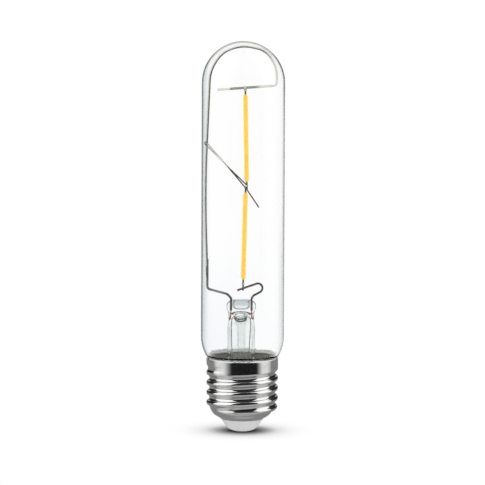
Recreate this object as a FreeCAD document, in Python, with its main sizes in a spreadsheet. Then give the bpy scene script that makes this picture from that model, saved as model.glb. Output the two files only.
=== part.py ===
import FreeCAD, Part
import math
import os
import Sketcher

# Tubular filament lamp with a screw cap, upright on its centre contact.
# +Z runs up the lamp, +X to the right of the front view, -Y towards the viewer.
# The origin is the middle of the flat underside of the centre contact.

SIZES = {
    # glass envelope
    "lamp_height": 142.6,
    "glass_radius": 15.1,
    "glass_wall": 0.8,
    "neck_top": 24.32,
    "shoulder_bend": 12.6,
    "neck_bend": 3.0,
    "neck_radius": 11.4,
    "neck_end": 21.6,
    # glass stem
    "stem_offset": -0.45,
    "stem_radius": 5.0,
    "stem_wall": 0.75,
    "flare_bend": 5.2,
    "flare_thickness": 0.75,
    "waist_start": 38.0,
    "waist_share": 0.34,
    "throat_share": 0.68,
    "waist_half_width": 4.62,
    "waist_half_depth": 4.0,
    "throat_half_width": 4.75,
    "throat_half_depth": 2.6,
    "press_bottom": 44.5,
    "press_height": 3.8,
    "press_side_height": 2.4,
    "press_half_width": 5.35,
    "press_half_depth": 1.7,
    "press_flat": 1.5,
    "press_round": 0.8,
    "exhaust_radius": 1.75,
    "exhaust_wall": 0.65,
    "exhaust_tip": 18.6,
    "exhaust_nib": 0.6,
    "neck_half_width": 1.45,
    "neck_half_depth": 0.9,
    "blow_hole_level": 41.9,
    "blow_hole_half_width": 1.7,
    "blow_hole_half_height": 1.3,
    "blow_hole_rim": 0.45,
    # wires, by their thickness, bends and places
    "support_wire": 0.9,
    "lead_wire": 0.85,
    "hook_wire": 0.78,
    "dumet_wire": 0.4,
    "outer_wire": 0.34,
    "brace_wire": 0.56,
    "wall_gap": 0.2,
    "arch_gap": 0.75,
    "leg_bend": 400.0,
    "bar_bend": 1.2,
    "lead_bend": 1.2,
    "foot_bend": 2.1,
    "hook_bend": 1.62,
    "soft_bend": 0.6,
    "fold_gap": 0.02,
    "brace_end_bend": 2.0,
    "brace_leg_bend": 4.0,
    "brace_foot_bend": 8.0,
    "brace_turn": 3.2,
    "brace_gap": 0.08,
    "weld_bottom": 56.6,
    "weld_top": 63.0,
    "bar_drop": 14.7,
    "left_lead_place": 4.15,
    "right_lead_place": 3.25,
    "lead_foot": 0.3,
    "dumet_length": 4.4,
    "dumet_straight": 1.32,
    # LED filaments
    "filament_width": 1.65,
    "filament_depth": 1.35,
    "filament_round": 0.5,
    "tab_length": 3.05,
    "hook_rise": 4.0,
    "strip_width": 0.8,
    "strip_depth": 0.36,
    "chip_width": 0.5,
    "chip_length": 0.8,
    "chip_depth": 0.18,
    "chip_count": 28,
    "tab_width": 0.65,
    "tab_depth": 0.16,
    "tab_overlap": 0.45,
    "joint_overlap": 1.2,
    "hook_grip": 0.75,
    "lower_coat_rise": 1.0,
    "upper_place": 1.04,
    "upper_tilt": -1.1,
    "lower_place": 0.55,
    "lower_tilt": 1.24,
    "tab_eye": 0.45,
    "tab_hole": 0.2,
    # screw cap
    "cap_height": 26.85,
    "cap_sheet": 0.3,
    "collar_radius": 13.0,
    "collar_bottom": 22.95,
    "collar_bend": 1.1,
    "thread_top": 21.7,
    "thread_radius": 13.08,
    "thread_round": 1.025,
    "thread_pitch": 3.629,
    "thread_phase": 12.23,
    "thread_start": 7.9,
    "thread_end": 22.2,
    "thread_fade": 1.3,
    "cone_top": 8.7,
    "cone_bend": 3.0,
    "cone_knee_radius": 10.0,
    "cone_knee_level": 5.95,
    "mouth_radius": 7.8,
    "mouth_level": 4.55,
    "cement_bottom": 23.8,
    "cement_depth": 0.65,
    "cement_taper": 0.8,
    "cement_foot": 0.4,
    # insulator and centre contact
    "fit_gap": 0.1,
    "insulator_bottom": 0.3,
    "insulator_foot": 3.9,
    "insulator_bend": 4.0,
    "insulator_knee_radius": 5.9,
    "insulator_knee_level": 1.75,
    "insulator_flange": 9.2,
    "insulator_top": 7.4,
    "flange_lift": 0.56,
    "flange_steepness": 1.3,
    "contact_radius": 3.2,
    "contact_disc": 0.9,
    "contact_pin": 1.0,
    "contact_pin_top": 8.0,
    "contact_round": 0.2,
    # driver in the base
    "board_radius": 11.2,
    "board_thickness": 1.0,
    "board_level": 15.2,
    "package_length": 4.9,
    "package_width": 3.9,
    "package_height": 1.6,
    "package_offset": 6.1,
    "package_leg": 0.35,
    "package_foot": 0.7,
    "capacitor_radius": 3.0,
    "capacitor_length": 6.5,
    "capacitor_offset": 5.6,
    "capacitor_round": 0.4,
    "resistor_radius": 1.2,
    "resistor_length": 5.0,
    "resistor_round": 0.35,
    "resistor_lead": 0.3,
    "shell_lead_inset": 1.8,
}

# Corners of the bent wires, each a step across and up from a place of its own on the lamp
WIRE_CORNERS = {
    "support": [
        (0.8, 0.0),
        (-0.3, 31.5),
        (1.55, -8.6),
        (6.0, -1.8),
        (13.4, 0.65),
        (-5.1, -1.4),
        (-1.55, -8.0),
        (-1.6, 0.75),
        (4.2, -0.85),
    ],
    "left_lead": [(0.8, 0.0), (0.8, 7.95), (-1.4, 6.0), (0.0, 4.4), (0.0, 0.0)],
    "right_lead": [(-2.5, -0.75), (6.65, 2.5), (6.65, -0.9), (0.0, 5.1), (0.0, 0.0)],
    "left_dumet": [(0.0, 0.0), (0.0, 0.0), (0.22, 0.0), (0.22, 0.0)],
    "right_dumet": [(0.0, 0.0), (0.0, 0.0), (-0.35, 0.0), (-0.35, 0.0)],
    "left_outer": [(0.22, 0.0), (0.22, -1.2), (0.1, -5.5), (0.45, -12.0), (0.8, 1.5), (0.8, 0.0)],
    "right_outer": [(-0.35, 0.0), (-0.35, -1.2), (-0.5, -5.5), (-0.85, -12.0), (-1.4, 1.5), (-1.4, 0.0)],
    "brace": [
        (0.0, 1.4),
        (-2.3, 4.15),
        (-7.6, 9.6),
        (1.1, 17.3),
        (0.64, 16.9),
        (-7.8, 8.8),
        (-4.0, 5.0),
        (0.4, -0.15),
        (4.85, -5.9),
    ],
}

# How finely the rolled thread follows its form, and how many spans of a cut's curve go in one face
SAMPLES_PER_TURN = 10
STRIPS = 40
SPANS_PER_FACE = 6

# Share of the room between two corners that a wide bend takes up
BEND_SHARE = 0.94


class Length:
    """A length of the lamp: its value now, and the text that ties it to the sheet of sizes."""

    def __init__(self, value, text):
        self.value = float(value)
        self.text = text

    def __float__(self):
        return self.value

    def __add__(self, other):
        other = length(other)
        return Length(self.value + other.value, f"({self.text} + {other.text})")

    def __sub__(self, other):
        other = length(other)
        return Length(self.value - other.value, f"({self.text} - {other.text})")

    def __mul__(self, other):
        other = length(other)
        return Length(self.value * other.value, f"({self.text} * {other.text})")

    def __truediv__(self, other):
        other = length(other)
        return Length(self.value / other.value, f"({self.text} / {other.text})")

    def __radd__(self, other):
        return length(other) + self

    def __rsub__(self, other):
        return length(other) - self

    def __rmul__(self, other):
        return length(other) * self

    def __neg__(self):
        return length(0) - self

    def root(self):
        return Length(math.sqrt(self.value), f"sqrt({self.text})")


def length(value):
    if isinstance(value, Length):
        return value
    return Length(value, f"({float(value)})")


cells = dict(SIZES)
for wire, corners in WIRE_CORNERS.items():
    for number, (across, up) in enumerate(corners, start=1):
        cells[f"{wire}_across_{number}"] = across
        cells[f"{wire}_up_{number}"] = up

doc = FreeCAD.newDocument("tubular_lamp")
sheet = doc.addObject("Spreadsheet::Sheet", "Sizes")
for row, (alias, value) in enumerate(cells.items(), start=1):
    sheet.set(f"A{row}", alias.replace("_", " "))
    sheet.set(f"B{row}", str(value))
    sheet.setAlias(f"B{row}", alias)
doc.recompute()


class Sizes:
    """The sheet's cells by name, each as a Length."""

    def __getattr__(self, alias):
        return Length(sheet.get(alias), f"Sizes.{alias}")


size = Sizes()
sub_parts = []

# Helpers for bodies and sketches

LINE_START, LINE_END, CENTRE = 1, 2, 3
X_AXIS, Y_AXIS, ROOT_POINT = -1, -2, -1


def tie(item, path, value):
    """Ties one property or constraint to the sheet."""
    item.setExpression(path, length(value).text)


def new_body(label):
    body = doc.addObject("PartDesign::Body", label)
    body.Label = label
    sub_parts.append(body)
    return body


def place(item, x=0, y=0, z=0, axis=FreeCAD.Vector(0, 0, 1), angle=0):
    """Moves and turns a finished sub-part to its place, tied to the sheet."""
    base = FreeCAD.Vector(float(x), float(y), float(z))
    item.Placement = FreeCAD.Placement(base, FreeCAD.Rotation(axis, float(angle)))
    for name, value in (("x", x), ("y", y), ("z", z)):
        tie(item, f"Placement.Base.{name}", value)
    if float(angle):
        tie(item, "Placement.Rotation.Angle", angle)


def new_sketch(body, name, role="XZ_Plane", level=None):
    """A sketch on a plane of its own body, moved along the plane's normal if a level is given."""
    sketch = body.newObject("Sketcher::SketchObject", name)
    plane = next(item for item in body.Origin.OriginFeatures if item.Role == role)
    sketch.AttachmentSupport = (plane, [""])
    sketch.MapMode = "FlatFace"
    if level is not None:
        tie(sketch, "AttachmentOffset.Base.z", level)
    return sketch


def constrain(sketch, kind, *places, value=None):
    if value is None:
        return sketch.addConstraint(Sketcher.Constraint(kind, *places))
    index = sketch.addConstraint(Sketcher.Constraint(kind, *places, float(value)))
    tie(sketch, f"Constraints[{index}]", value)
    return index


def hold(sketch, geometry, end, across, up):
    """Holds one end of a line at two distances from the sketch's origin."""
    if float(across) == 0:
        constrain(sketch, "PointOnObject", geometry, end, Y_AXIS)
    else:
        constrain(sketch, "DistanceX", ROOT_POINT, 1, geometry, end, value=across)
    if float(up) == 0:
        constrain(sketch, "PointOnObject", geometry, end, X_AXIS)
    else:
        constrain(sketch, "DistanceY", ROOT_POINT, 1, geometry, end, value=up)


def flat(across, up):
    return FreeCAD.Vector(float(across), float(up), 0)


class Outline:
    """Straight and round stretches drawn one after another, each end held by the sheet."""

    def __init__(self, sketch, across, up):
        self.sketch = sketch
        self.start = (across, up)
        self.here = flat(across, up)
        self.last = None
        self.first = None

    def join(self, geometry, start_end, far_end, across, up, holds):
        if self.last is None:
            self.first = (geometry, start_end)
            hold(self.sketch, geometry, start_end, *self.start)
        else:
            constrain(self.sketch, "Coincident", *self.last, geometry, start_end)
        if holds:
            hold(self.sketch, geometry, far_end, across, up)
        else:
            constrain(self.sketch, "Coincident", geometry, far_end, *self.first)
        self.last = (geometry, far_end)
        self.here = flat(across, up)

    def line(self, across, up, holds=True):
        geometry = self.sketch.addGeometry(Part.LineSegment(self.here, flat(across, up)))
        self.join(geometry, LINE_START, LINE_END, across, up, holds)
        return self

    def arc(self, across, up, radius, left):
        """A round stretch; its centre lies to the left or the right of the way it runs."""
        end = flat(across, up)
        chord = end - self.here
        reach = math.sqrt(max(float(radius) ** 2 - chord.Length ** 2 / 4, 0.0))
        side = FreeCAD.Vector(-chord.y, chord.x, 0).normalize() * (reach if left else -reach)
        centre = self.here + chord / 2 + side
        circle = Part.Circle(centre, FreeCAD.Vector(0, 0, 1), float(radius))
        angles = [math.atan2((point - centre).y, (point - centre).x) for point in (self.here, end)]
        if not left:
            angles.reverse()
        geometry = self.sketch.addGeometry(Part.ArcOfCircle(circle, *angles))
        ends = (LINE_START, LINE_END) if left else (LINE_END, LINE_START)
        self.join(geometry, *ends, across, up, True)
        constrain(self.sketch, "Radius", geometry, value=radius)
        return self

    def close(self):
        self.line(*self.start, holds=False)


def revolve(body, sketch, kind="Revolution"):
    feature = body.newObject(f"PartDesign::{kind}", kind)
    feature.Profile = sketch
    feature.ReferenceAxis = (sketch, ["V_Axis"])
    feature.Angle = 360
    return feature


def pad(body, sketch, thickness, both_ways=False, reverse=False, kind="Pad"):
    feature = body.newObject(f"PartDesign::{kind}", kind)
    feature.Profile = sketch
    tie(feature, "Length", thickness)
    feature.Midplane = both_ways
    feature.Reversed = reverse
    return feature


def round_edges(body, base, radius, wanted):
    """Rounds the edges of a feature that the test picks out."""
    doc.recompute()
    names = [f"Edge{n}" for n, edge in enumerate(base.Shape.Edges, start=1) if wanted(edge)]
    feature = body.newObject("PartDesign::Fillet", "Rounding")
    feature.Base = (base, names)
    tie(feature, "Radius", radius)
    return feature


def draw_circle(sketch, across, up, radius):
    geometry = sketch.addGeometry(Part.Circle(flat(across, up), FreeCAD.Vector(0, 0, 1), float(radius)))
    hold(sketch, geometry, CENTRE, across, up)
    constrain(sketch, "Radius", geometry, value=radius)


def draw_ellipse(sketch, across, up, half_width, half_height):
    """An ellipse, or a circle where both halves are alike, its long axis across or up."""
    if abs(float(half_width) - float(half_height)) < 1e-6:
        draw_circle(sketch, across, up, half_width)
        return
    centre = flat(across, up)
    ends = (centre + flat(half_width, 0), centre + flat(0, half_height))
    if float(half_width) < float(half_height):
        ends = (ends[1], centre - flat(half_width, 0))
    geometry = sketch.addGeometry(Part.Ellipse(*ends, centre))
    sketch.exposeInternalGeometry(geometry)
    long_axis, short_axis = geometry + 1, geometry + 2
    hold(sketch, geometry, CENTRE, across, up)
    wide = float(half_width) > float(half_height)
    constrain(sketch, "Horizontal" if wide else "Vertical", long_axis)
    long_half, short_half = (half_width, half_height) if wide else (half_height, half_width)
    constrain(sketch, "Distance", long_axis, LINE_START, long_axis, LINE_END, value=long_half * 2)
    constrain(sketch, "Distance", short_axis, LINE_START, short_axis, LINE_END, value=short_half * 2)


def loft(body, sections, kind="AdditiveLoft"):
    """A skin through ellipses given as (level, half width, half depth)."""
    sketches = []
    for number, (level, half_width, half_depth) in enumerate(sections):
        sketch = new_sketch(body, f"{kind}Section{number}", "XY_Plane", level)
        draw_ellipse(sketch, 0, 0, half_width, half_depth)
        sketches.append(sketch)
    doc.recompute()
    feature = body.newObject(f"PartDesign::{kind}", kind)
    feature.Profile = sketches[0]
    feature.Sections = sketches[1:]
    return feature


# Bent wires: straight runs joined by tangent arcs


def draw_route(sketch, corners, bends):
    """Draws an open route through corners; each inner corner is rounded by its own bend."""
    points = [flat(*corner) for corner in corners]
    edge = 0
    run_start = points[0]
    first = None
    corner_marks = []
    previous = None
    for number in range(1, len(points) - 1):
        back = (points[number - 1] - points[number]).normalize()
        ahead = (points[number + 1] - points[number]).normalize()
        half_angle = back.getAngle(ahead) / 2
        bend = bends[number - 1]
        reach = float(bend) / math.tan(half_angle)
        arc_start = points[number] + back * reach
        arc_end = points[number] + ahead * reach
        centre = points[number] + (back + ahead).normalize() * (float(bend) / math.sin(half_angle))
        middle = centre + (points[number] - centre).normalize() * float(bend)
        run = sketch.addGeometry(Part.LineSegment(run_start, arc_start))
        arc = sketch.addGeometry(Part.Arc(arc_start, middle, arc_end))
        left = back.cross(ahead).z < 0
        ends = (LINE_START, LINE_END) if left else (LINE_END, LINE_START)
        mark = sketch.addGeometry(Part.Point(points[number]), True)
        if previous is None:
            hold(sketch, run, LINE_START, *corners[0])
        else:
            constrain(sketch, "Tangent", *previous, run, LINE_START)
            constrain(sketch, "PointOnObject", corner_marks[-1], 1, run)
        constrain(sketch, "Tangent", run, LINE_END, arc, ends[0])
        hold(sketch, mark, 1, *corners[number])
        constrain(sketch, "PointOnObject", mark, 1, run)
        constrain(sketch, "Radius", arc, value=bend)
        previous = (arc, ends[1])
        corner_marks.append(mark)
        run_start = arc_end
    run = sketch.addGeometry(Part.LineSegment(run_start, points[-1]))
    if previous is None:
        hold(sketch, run, LINE_START, *corners[0])
    else:
        constrain(sketch, "Tangent", *previous, run, LINE_START)
        constrain(sketch, "PointOnObject", corner_marks[-1], 1, run)
    hold(sketch, run, LINE_END, *corners[-1])


def bent_wire(label, thickness, corners, bends):
    """A round wire in one plane, drawn in the front view."""
    body = new_body(label)
    route = new_sketch(body, "Route")
    draw_route(route, corners, bends)
    doc.recompute()
    section = body.newObject("Sketcher::SketchObject", "Section")
    section.AttachmentSupport = [(route, "Edge1")]
    section.MapMode = "NormalToEdge"
    section.MapPathParameter = 0
    draw_circle(section, 0, 0, thickness / 2)
    pipe = body.newObject("PartDesign::AdditivePipe", "Wire")
    pipe.Profile = section
    pipe.Spine = (route, [f"Edge{n + 1}" for n in range(len(route.Shape.Edges))])
    return body


def wire_corners(wire, places):
    """The corners of a wire: its steps in the sheet, each taken from its own place on the lamp."""
    return [
        (across + getattr(size, f"{wire}_across_{number}"), up + getattr(size, f"{wire}_up_{number}"))
        for number, (across, up) in enumerate(places, start=1)
    ]


# Glass envelope: one tube drawn to a round dome above and a necked shoulder below


def s_curve(radius, narrow, first_bend, second_bend):
    """Where two tangent bends meet between a wide and a narrow radius, and how tall they are."""
    drop = radius - narrow
    cosine = 1 - drop / (first_bend + second_bend)
    sine = (1 - cosine * cosine).root()
    return radius - first_bend * (1 - cosine), first_bend * sine, (first_bend + second_bend) * sine


bore = size.glass_radius - size.glass_wall
dome_centre = size.lamp_height - size.glass_radius
neck_bore = size.neck_radius - size.glass_wall


def glass_envelope():
    body = new_body("glass_envelope")
    sketch = new_sketch(body, "Section")
    wide_bend = size.shoulder_bend
    tight_bend = size.neck_bend
    wall = size.glass_wall
    meeting, drop, height = s_curve(size.glass_radius, size.neck_radius, wide_bend, tight_bend)
    inner_meeting, inner_drop, _ = s_curve(bore, neck_bore, wide_bend - wall, tight_bend + wall)
    shoulder_top = size.neck_top + height
    outline = Outline(sketch, 0, size.lamp_height)
    outline.arc(size.glass_radius, dome_centre, size.glass_radius, left=False)
    outline.line(size.glass_radius, shoulder_top)
    outline.arc(meeting, shoulder_top - drop, wide_bend, left=False)
    outline.arc(size.neck_radius, size.neck_top, tight_bend, left=True)
    outline.line(size.neck_radius, size.neck_end)
    outline.line(neck_bore, size.neck_end)
    outline.line(neck_bore, size.neck_top)
    outline.arc(inner_meeting, shoulder_top - inner_drop, tight_bend + wall, left=False)
    outline.arc(bore, shoulder_top, wide_bend - wall, left=True)
    outline.line(bore, dome_centre)
    outline.arc(0, dome_centre + bore, bore, left=True)
    outline.close()
    revolve(body, sketch)


# Glass stem: a tube flared at its foot, with its head pressed flat round the leads

press_top = size.press_bottom + size.press_height
stem_bore = size.stem_radius - size.stem_wall
lead_bottom = size.press_bottom - size.lead_foot
left_in_stem = -size.left_lead_place - size.stem_offset
right_in_stem = size.right_lead_place - size.stem_offset
throat_level = size.waist_start + (size.press_bottom - size.waist_start) * size.throat_share
waist_level = size.waist_start + (size.press_bottom - size.waist_start) * size.waist_share


def glass_stem():
    body = new_body("glass_stem")
    sketch = new_sketch(body, "Tube")
    thick = size.flare_thickness
    lip = neck_bore - size.stem_offset
    bend_centre = size.stem_radius + size.flare_bend
    lip_top = size.neck_end + thick
    outline = Outline(sketch, size.stem_radius, size.waist_start)
    outline.line(stem_bore, size.waist_start)
    outline.line(stem_bore, lip_top + size.flare_bend)
    outline.arc(bend_centre, size.neck_end, size.flare_bend + thick, left=True)
    outline.line(lip, size.neck_end)
    outline.line(lip, lip_top)
    outline.line(bend_centre, lip_top)
    outline.arc(size.stem_radius, lip_top + size.flare_bend, size.flare_bend, left=False)
    outline.close()
    revolve(body, sketch)
    # the flare is trimmed to the bore of the envelope's neck, which it is melted to
    trim = new_sketch(body, "Neck", "XY_Plane", size.neck_end)
    draw_circle(trim, -size.stem_offset, 0, neck_bore)
    draw_circle(trim, -size.stem_offset, 0, neck_bore + size.stem_radius)
    doc.recompute()
    pad(body, trim, thick, reverse=True, kind="Pocket")
    head = [
        (size.waist_start, size.stem_radius, size.stem_radius),
        (waist_level, size.waist_half_width, size.waist_half_depth),
        (throat_level, size.throat_half_width, size.throat_half_depth),
        (size.press_bottom, size.press_half_width, size.press_half_depth),
    ]
    loft(body, head)
    hollow = [(level, wide - size.stem_wall, deep - size.stem_wall) for level, wide, deep in head]
    loft(body, hollow, "SubtractiveLoft")
    press = new_sketch(body, "Press")
    side_top = size.press_bottom + size.press_side_height
    outline = Outline(press, -size.press_half_width, size.press_bottom)
    outline.line(-size.press_half_width, side_top)
    outline.line(-size.press_flat, press_top)
    outline.line(size.press_flat, press_top)
    outline.line(size.press_half_width, side_top)
    outline.line(size.press_half_width, size.press_bottom)
    outline.close()
    block = pad(body, press, size.press_half_depth * 2, both_ways=True)
    above = float(size.press_bottom + size.press_round)
    round_edges(body, block, size.press_round, lambda edge: edge.CenterOfMass.z > above)
    # rim of the hole that the exhaust tube was blown open with, on the front
    rim = new_sketch(body, "BlowHoleRim", level=size.exhaust_radius)
    draw_ellipse(rim, 0, size.blow_hole_level, size.blow_hole_half_width, size.blow_hole_half_height)
    pad(body, rim, size.throat_half_depth + size.stem_wall - size.exhaust_radius)
    opening = new_sketch(body, "BlowHole")
    draw_ellipse(
        opening,
        0,
        size.blow_hole_level,
        size.blow_hole_half_width - size.blow_hole_rim,
        size.blow_hole_half_height - size.blow_hole_rim,
    )
    pad(body, opening, size.stem_radius, reverse=True, kind="Pocket")
    for name, across, depth, wire in (
        ("LeftLead", left_in_stem, length(0), size.lead_wire),
        ("RightLead", right_in_stem, hook_plane, size.hook_wire),
    ):
        channel = new_sketch(body, name, "XY_Plane", lead_bottom)
        draw_circle(channel, across, depth, wire / 2)
        pad(body, channel, size.press_height + size.lead_foot, reverse=True, kind="Pocket")
    place(body, x=size.stem_offset)


def exhaust_tube():
    """The thin tube the lamp was pumped through: open into the blow hole, sealed at its tip."""
    body = new_body("exhaust_tube")
    sketch = new_sketch(body, "Tube")
    bore_radius = size.exhaust_radius - size.exhaust_wall
    neck_level = size.blow_hole_level - size.exhaust_wall
    sealed = size.exhaust_tip + size.exhaust_radius * 2
    outline = Outline(sketch, bore_radius, neck_level)
    outline.line(bore_radius, sealed)
    outline.line(0, sealed - size.exhaust_radius)
    outline.line(0, size.exhaust_tip)
    outline.arc(size.exhaust_nib, size.exhaust_tip + size.exhaust_nib, size.exhaust_nib, left=True)
    outline.line(size.exhaust_radius, sealed)
    outline.line(size.exhaust_radius, neck_level)
    outline.close()
    revolve(body, sketch)
    loft(
        body,
        [
            (neck_level, size.exhaust_radius, size.exhaust_radius),
            (size.press_bottom, size.neck_half_width, size.neck_half_depth),
        ],
    )
    opening = new_sketch(body, "Mouth")
    draw_circle(opening, 0, size.blow_hole_level, size.blow_hole_half_height - size.blow_hole_rim)
    pad(body, opening, size.exhaust_radius * 2, reverse=True, kind="Pocket")
    place(body, x=size.stem_offset)


# Wires that carry and feed the filaments

reach = bore - size.wall_gap - size.support_wire / 2
support_plane = -(size.support_wire + size.lead_wire) / 2
arch_top = size.lamp_height - size.glass_wall - size.arch_gap - size.support_wire / 2
bar_level = arch_top - size.bar_drop
hook_level = press_top + size.hook_rise
hung_height = bar_level + size.tab_overlap - hook_level + size.hook_grip
filament_overall = (hung_height + size.joint_overlap) / 2
filament_length = filament_overall - size.tab_length * 2
upper_middle = bar_level + size.tab_overlap - filament_overall / 2
joint_level = upper_middle - filament_overall / 2
lower_middle = hook_level - size.hook_grip + filament_overall / 2
upper_filament_plane = support_plane + (size.support_wire + size.tab_depth) / 2
lower_filament_plane = upper_filament_plane - size.tab_depth
hook_plane = lower_filament_plane + (size.tab_depth + size.hook_wire) / 2
board_top = size.board_level + size.board_thickness


def widest_bend(corners, number):
    """The largest bend that two neighbouring runs leave room for, with a little straight left."""
    back, here, ahead = (flat(*corner) for corner in corners[number - 1 : number + 2])
    half_angle = (back - here).getAngle(ahead - here) / 2
    room = min((back - here).Length, (ahead - here).Length)
    return BEND_SHARE / 2 * room * math.tan(half_angle)


def support_wire():
    """The long wire: up the left wall, over in an arch under the dome and back as a bar."""
    places = [(-reach, size.weld_bottom)] * 2
    places += [(-reach, arch_top)] * 3
    places += [(reach, arch_top)] * 2
    places += [(reach, bar_level), (-reach, bar_level)]
    corners = wire_corners("support", places)
    bends = [size.leg_bend]
    bends += [widest_bend(corners, number) for number in range(2, 7)]
    bends.append(size.bar_bend)
    body = bent_wire("long_support_wire", size.support_wire, corners, bends)
    place(body, y=support_plane)


def lead_wires():
    """The two inner leads, held in the press."""
    places = [(-reach, size.weld_top), (-reach, lead_bottom)]
    places += [(-size.left_lead_place, lead_bottom)] * 3
    corners = wire_corners("left_lead", places)
    bends = [size.lead_bend, size.foot_bend, size.lead_bend]
    bent_wire("left_lead_wire", size.lead_wire, corners, bends)
    places = [(size.lower_place, hook_level)] * 3
    places += [(size.right_lead_place, lead_bottom)] * 2
    corners = wire_corners("right_lead", places)
    bends = [size.hook_bend, size.hook_bend, size.foot_bend]
    body = bent_wire("right_lead_wire", size.hook_wire, corners, bends)
    place(body, y=hook_plane)


def seal_wires():
    """The short copper-clad wires at the press and the thin outer leads down to the board."""
    foot = lead_bottom - size.dumet_length
    for side, across, depth in (
        ("left", -size.left_lead_place, length(0)),
        ("right", size.right_lead_place, hook_plane),
    ):
        places = [
            (across, lead_bottom),
            (across, lead_bottom - size.dumet_straight),
            (across, foot + size.dumet_straight),
            (across, foot),
        ]
        corners = wire_corners(f"{side}_dumet", places)
        body = bent_wire(f"{side}_dumet_wire", size.dumet_wire, corners, [size.soft_bend] * 2)
        place(body, y=depth)
        corners = wire_corners(f"{side}_outer", [(across, foot)] * 4 + [(across, board_top)] * 2)
        body = bent_wire(f"{side}_outer_lead", size.outer_wire, corners, [size.foot_bend] * 4)
        place(body, y=depth)


def brace_wire():
    """A thin wire folded into a V: its fold leans on the glass and its legs hold the joint."""
    joint = (size.upper_place, joint_level)
    corners = wire_corners("brace", [joint] * 3 + [(-bore, joint_level)] * 2 + [joint] * 4)
    fold = size.brace_wire / 2 + size.fold_gap
    leg = size.brace_leg_bend
    bends = [size.brace_end_bend, leg, fold, fold, leg, leg, size.brace_foot_bend]
    body = bent_wire("mid_brace_wire", size.brace_wire, corners, bends)
    depth = lower_filament_plane - (size.tab_depth + size.brace_wire) / 2 - size.brace_gap
    place(body, y=depth, angle=size.brace_turn)


# LED filaments: a strip of chips under a round yellow coat, with a tab at each end
def draw_rectangle(sketch, width, depth, across=0, up=0):
    outline = Outline(sketch, across - width / 2, up - depth / 2)
    outline.line(across + width / 2, up - depth / 2)
    outline.line(across + width / 2, up + depth / 2)
    outline.line(across - width / 2, up + depth / 2)
    outline.close()


def filament(name, coat_rise, across, depth, middle, tilt):
    """One filament, built upright round its own middle and hung from its tabs."""
    half_length = filament_length / 2
    foot = coat_rise - half_length
    chip_plane = -(size.strip_depth + size.chip_depth) / 2
    row_length = filament_length - size.filament_round * 4
    coat = new_body(f"{name}_filament_coat")
    section = new_sketch(coat, "Section", level=-size.filament_depth / 2)
    draw_rectangle(section, size.filament_width, filament_length, up=coat_rise)
    bar = pad(coat, section, size.filament_depth)
    round_edges(coat, bar, size.filament_round, lambda edge: True)
    slot = new_sketch(coat, "StripSlot", "XY_Plane", foot)
    draw_rectangle(slot, size.strip_width, size.strip_depth)
    pad(coat, slot, filament_length, reverse=True, kind="Pocket")
    row = new_sketch(coat, "ChipRow", "XY_Plane", coat_rise - row_length / 2)
    draw_rectangle(row, size.chip_width, size.chip_depth, up=chip_plane)
    pad(coat, row, row_length, reverse=True, kind="Pocket")

    strip = new_body(f"{name}_filament_strip")
    core = new_sketch(strip, "Section", "XY_Plane", foot)
    draw_rectangle(core, size.strip_width, size.strip_depth)
    pad(strip, core, filament_length)

    chips = new_body(f"{name}_filament_chips")
    chips.AllowCompound = True
    chip = new_sketch(chips, "Chip", "XY_Plane", coat_rise - row_length / 2)
    draw_rectangle(chip, size.chip_width, size.chip_depth, up=chip_plane)
    first = pad(chips, chip, size.chip_length)
    pattern = chips.newObject("PartDesign::LinearPattern", "Chips")
    pattern.Originals = [first]
    pattern.Direction = (chip, ["N_Axis"])
    tie(pattern, "Length", row_length - size.chip_length)
    tie(pattern, "Occurrences", size.chip_count)
    chips.Tip = pattern

    pieces = [coat, strip, chips]
    for end, sign in (("top", 1), ("bottom", -1)):
        tab = new_body(f"{name}_filament_{end}_tab")
        run = size.tab_length - coat_rise * sign
        root_level = coat_rise + half_length * sign
        blade = new_sketch(tab, "Blade")
        draw_rectangle(blade, size.tab_width, run, up=root_level + run * sign / 2)
        pad(tab, blade, size.tab_depth, both_ways=True)
        eye_level = root_level + (size.tab_eye * 2 + size.tab_width) * sign
        eye = new_sketch(tab, "Eye")
        draw_circle(eye, 0, eye_level, size.tab_eye)
        pad(tab, eye, size.tab_depth, both_ways=True)
        hole = new_sketch(tab, "EyeHole")
        draw_circle(hole, 0, eye_level, size.tab_hole)
        pad(tab, hole, size.tab_depth * 2, both_ways=True, kind="Pocket")
        pieces.append(tab)
    for piece in pieces:
        place(piece, across, depth, middle, axis=FreeCAD.Vector(0, 1, 0), angle=tilt)


# Screw cap: one thin sheet, drawn to a cup and rolled with the thread


def meridian():
    """Points and outward normals along the outside of the sheet, from its mouth up to its rim."""
    corners = [
        (size.mouth_radius, size.mouth_level),
        (size.cone_knee_radius, size.cone_knee_level),
        (thread_root, size.cone_top),
        (thread_root, size.thread_top),
        (size.collar_radius, size.collar_bottom),
        (size.collar_radius, size.cap_height),
    ]
    bends = [size.cone_bend, size.cone_bend, size.collar_bend, size.collar_bend]
    wire = rounded_wire([FreeCAD.Vector(float(r), 0, float(z)) for r, z in corners], bends)
    count = round(wire.Length / float(size.thread_pitch) * SAMPLES_PER_TURN) + 1
    points = wire.discretize(count)
    normals = []
    for number in range(count):
        along = points[min(number + 1, count - 1)] - points[max(number - 1, 0)]
        normals.append(FreeCAD.Vector(along.z, 0, -along.x).normalize())
    return list(zip(points, normals))


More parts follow.
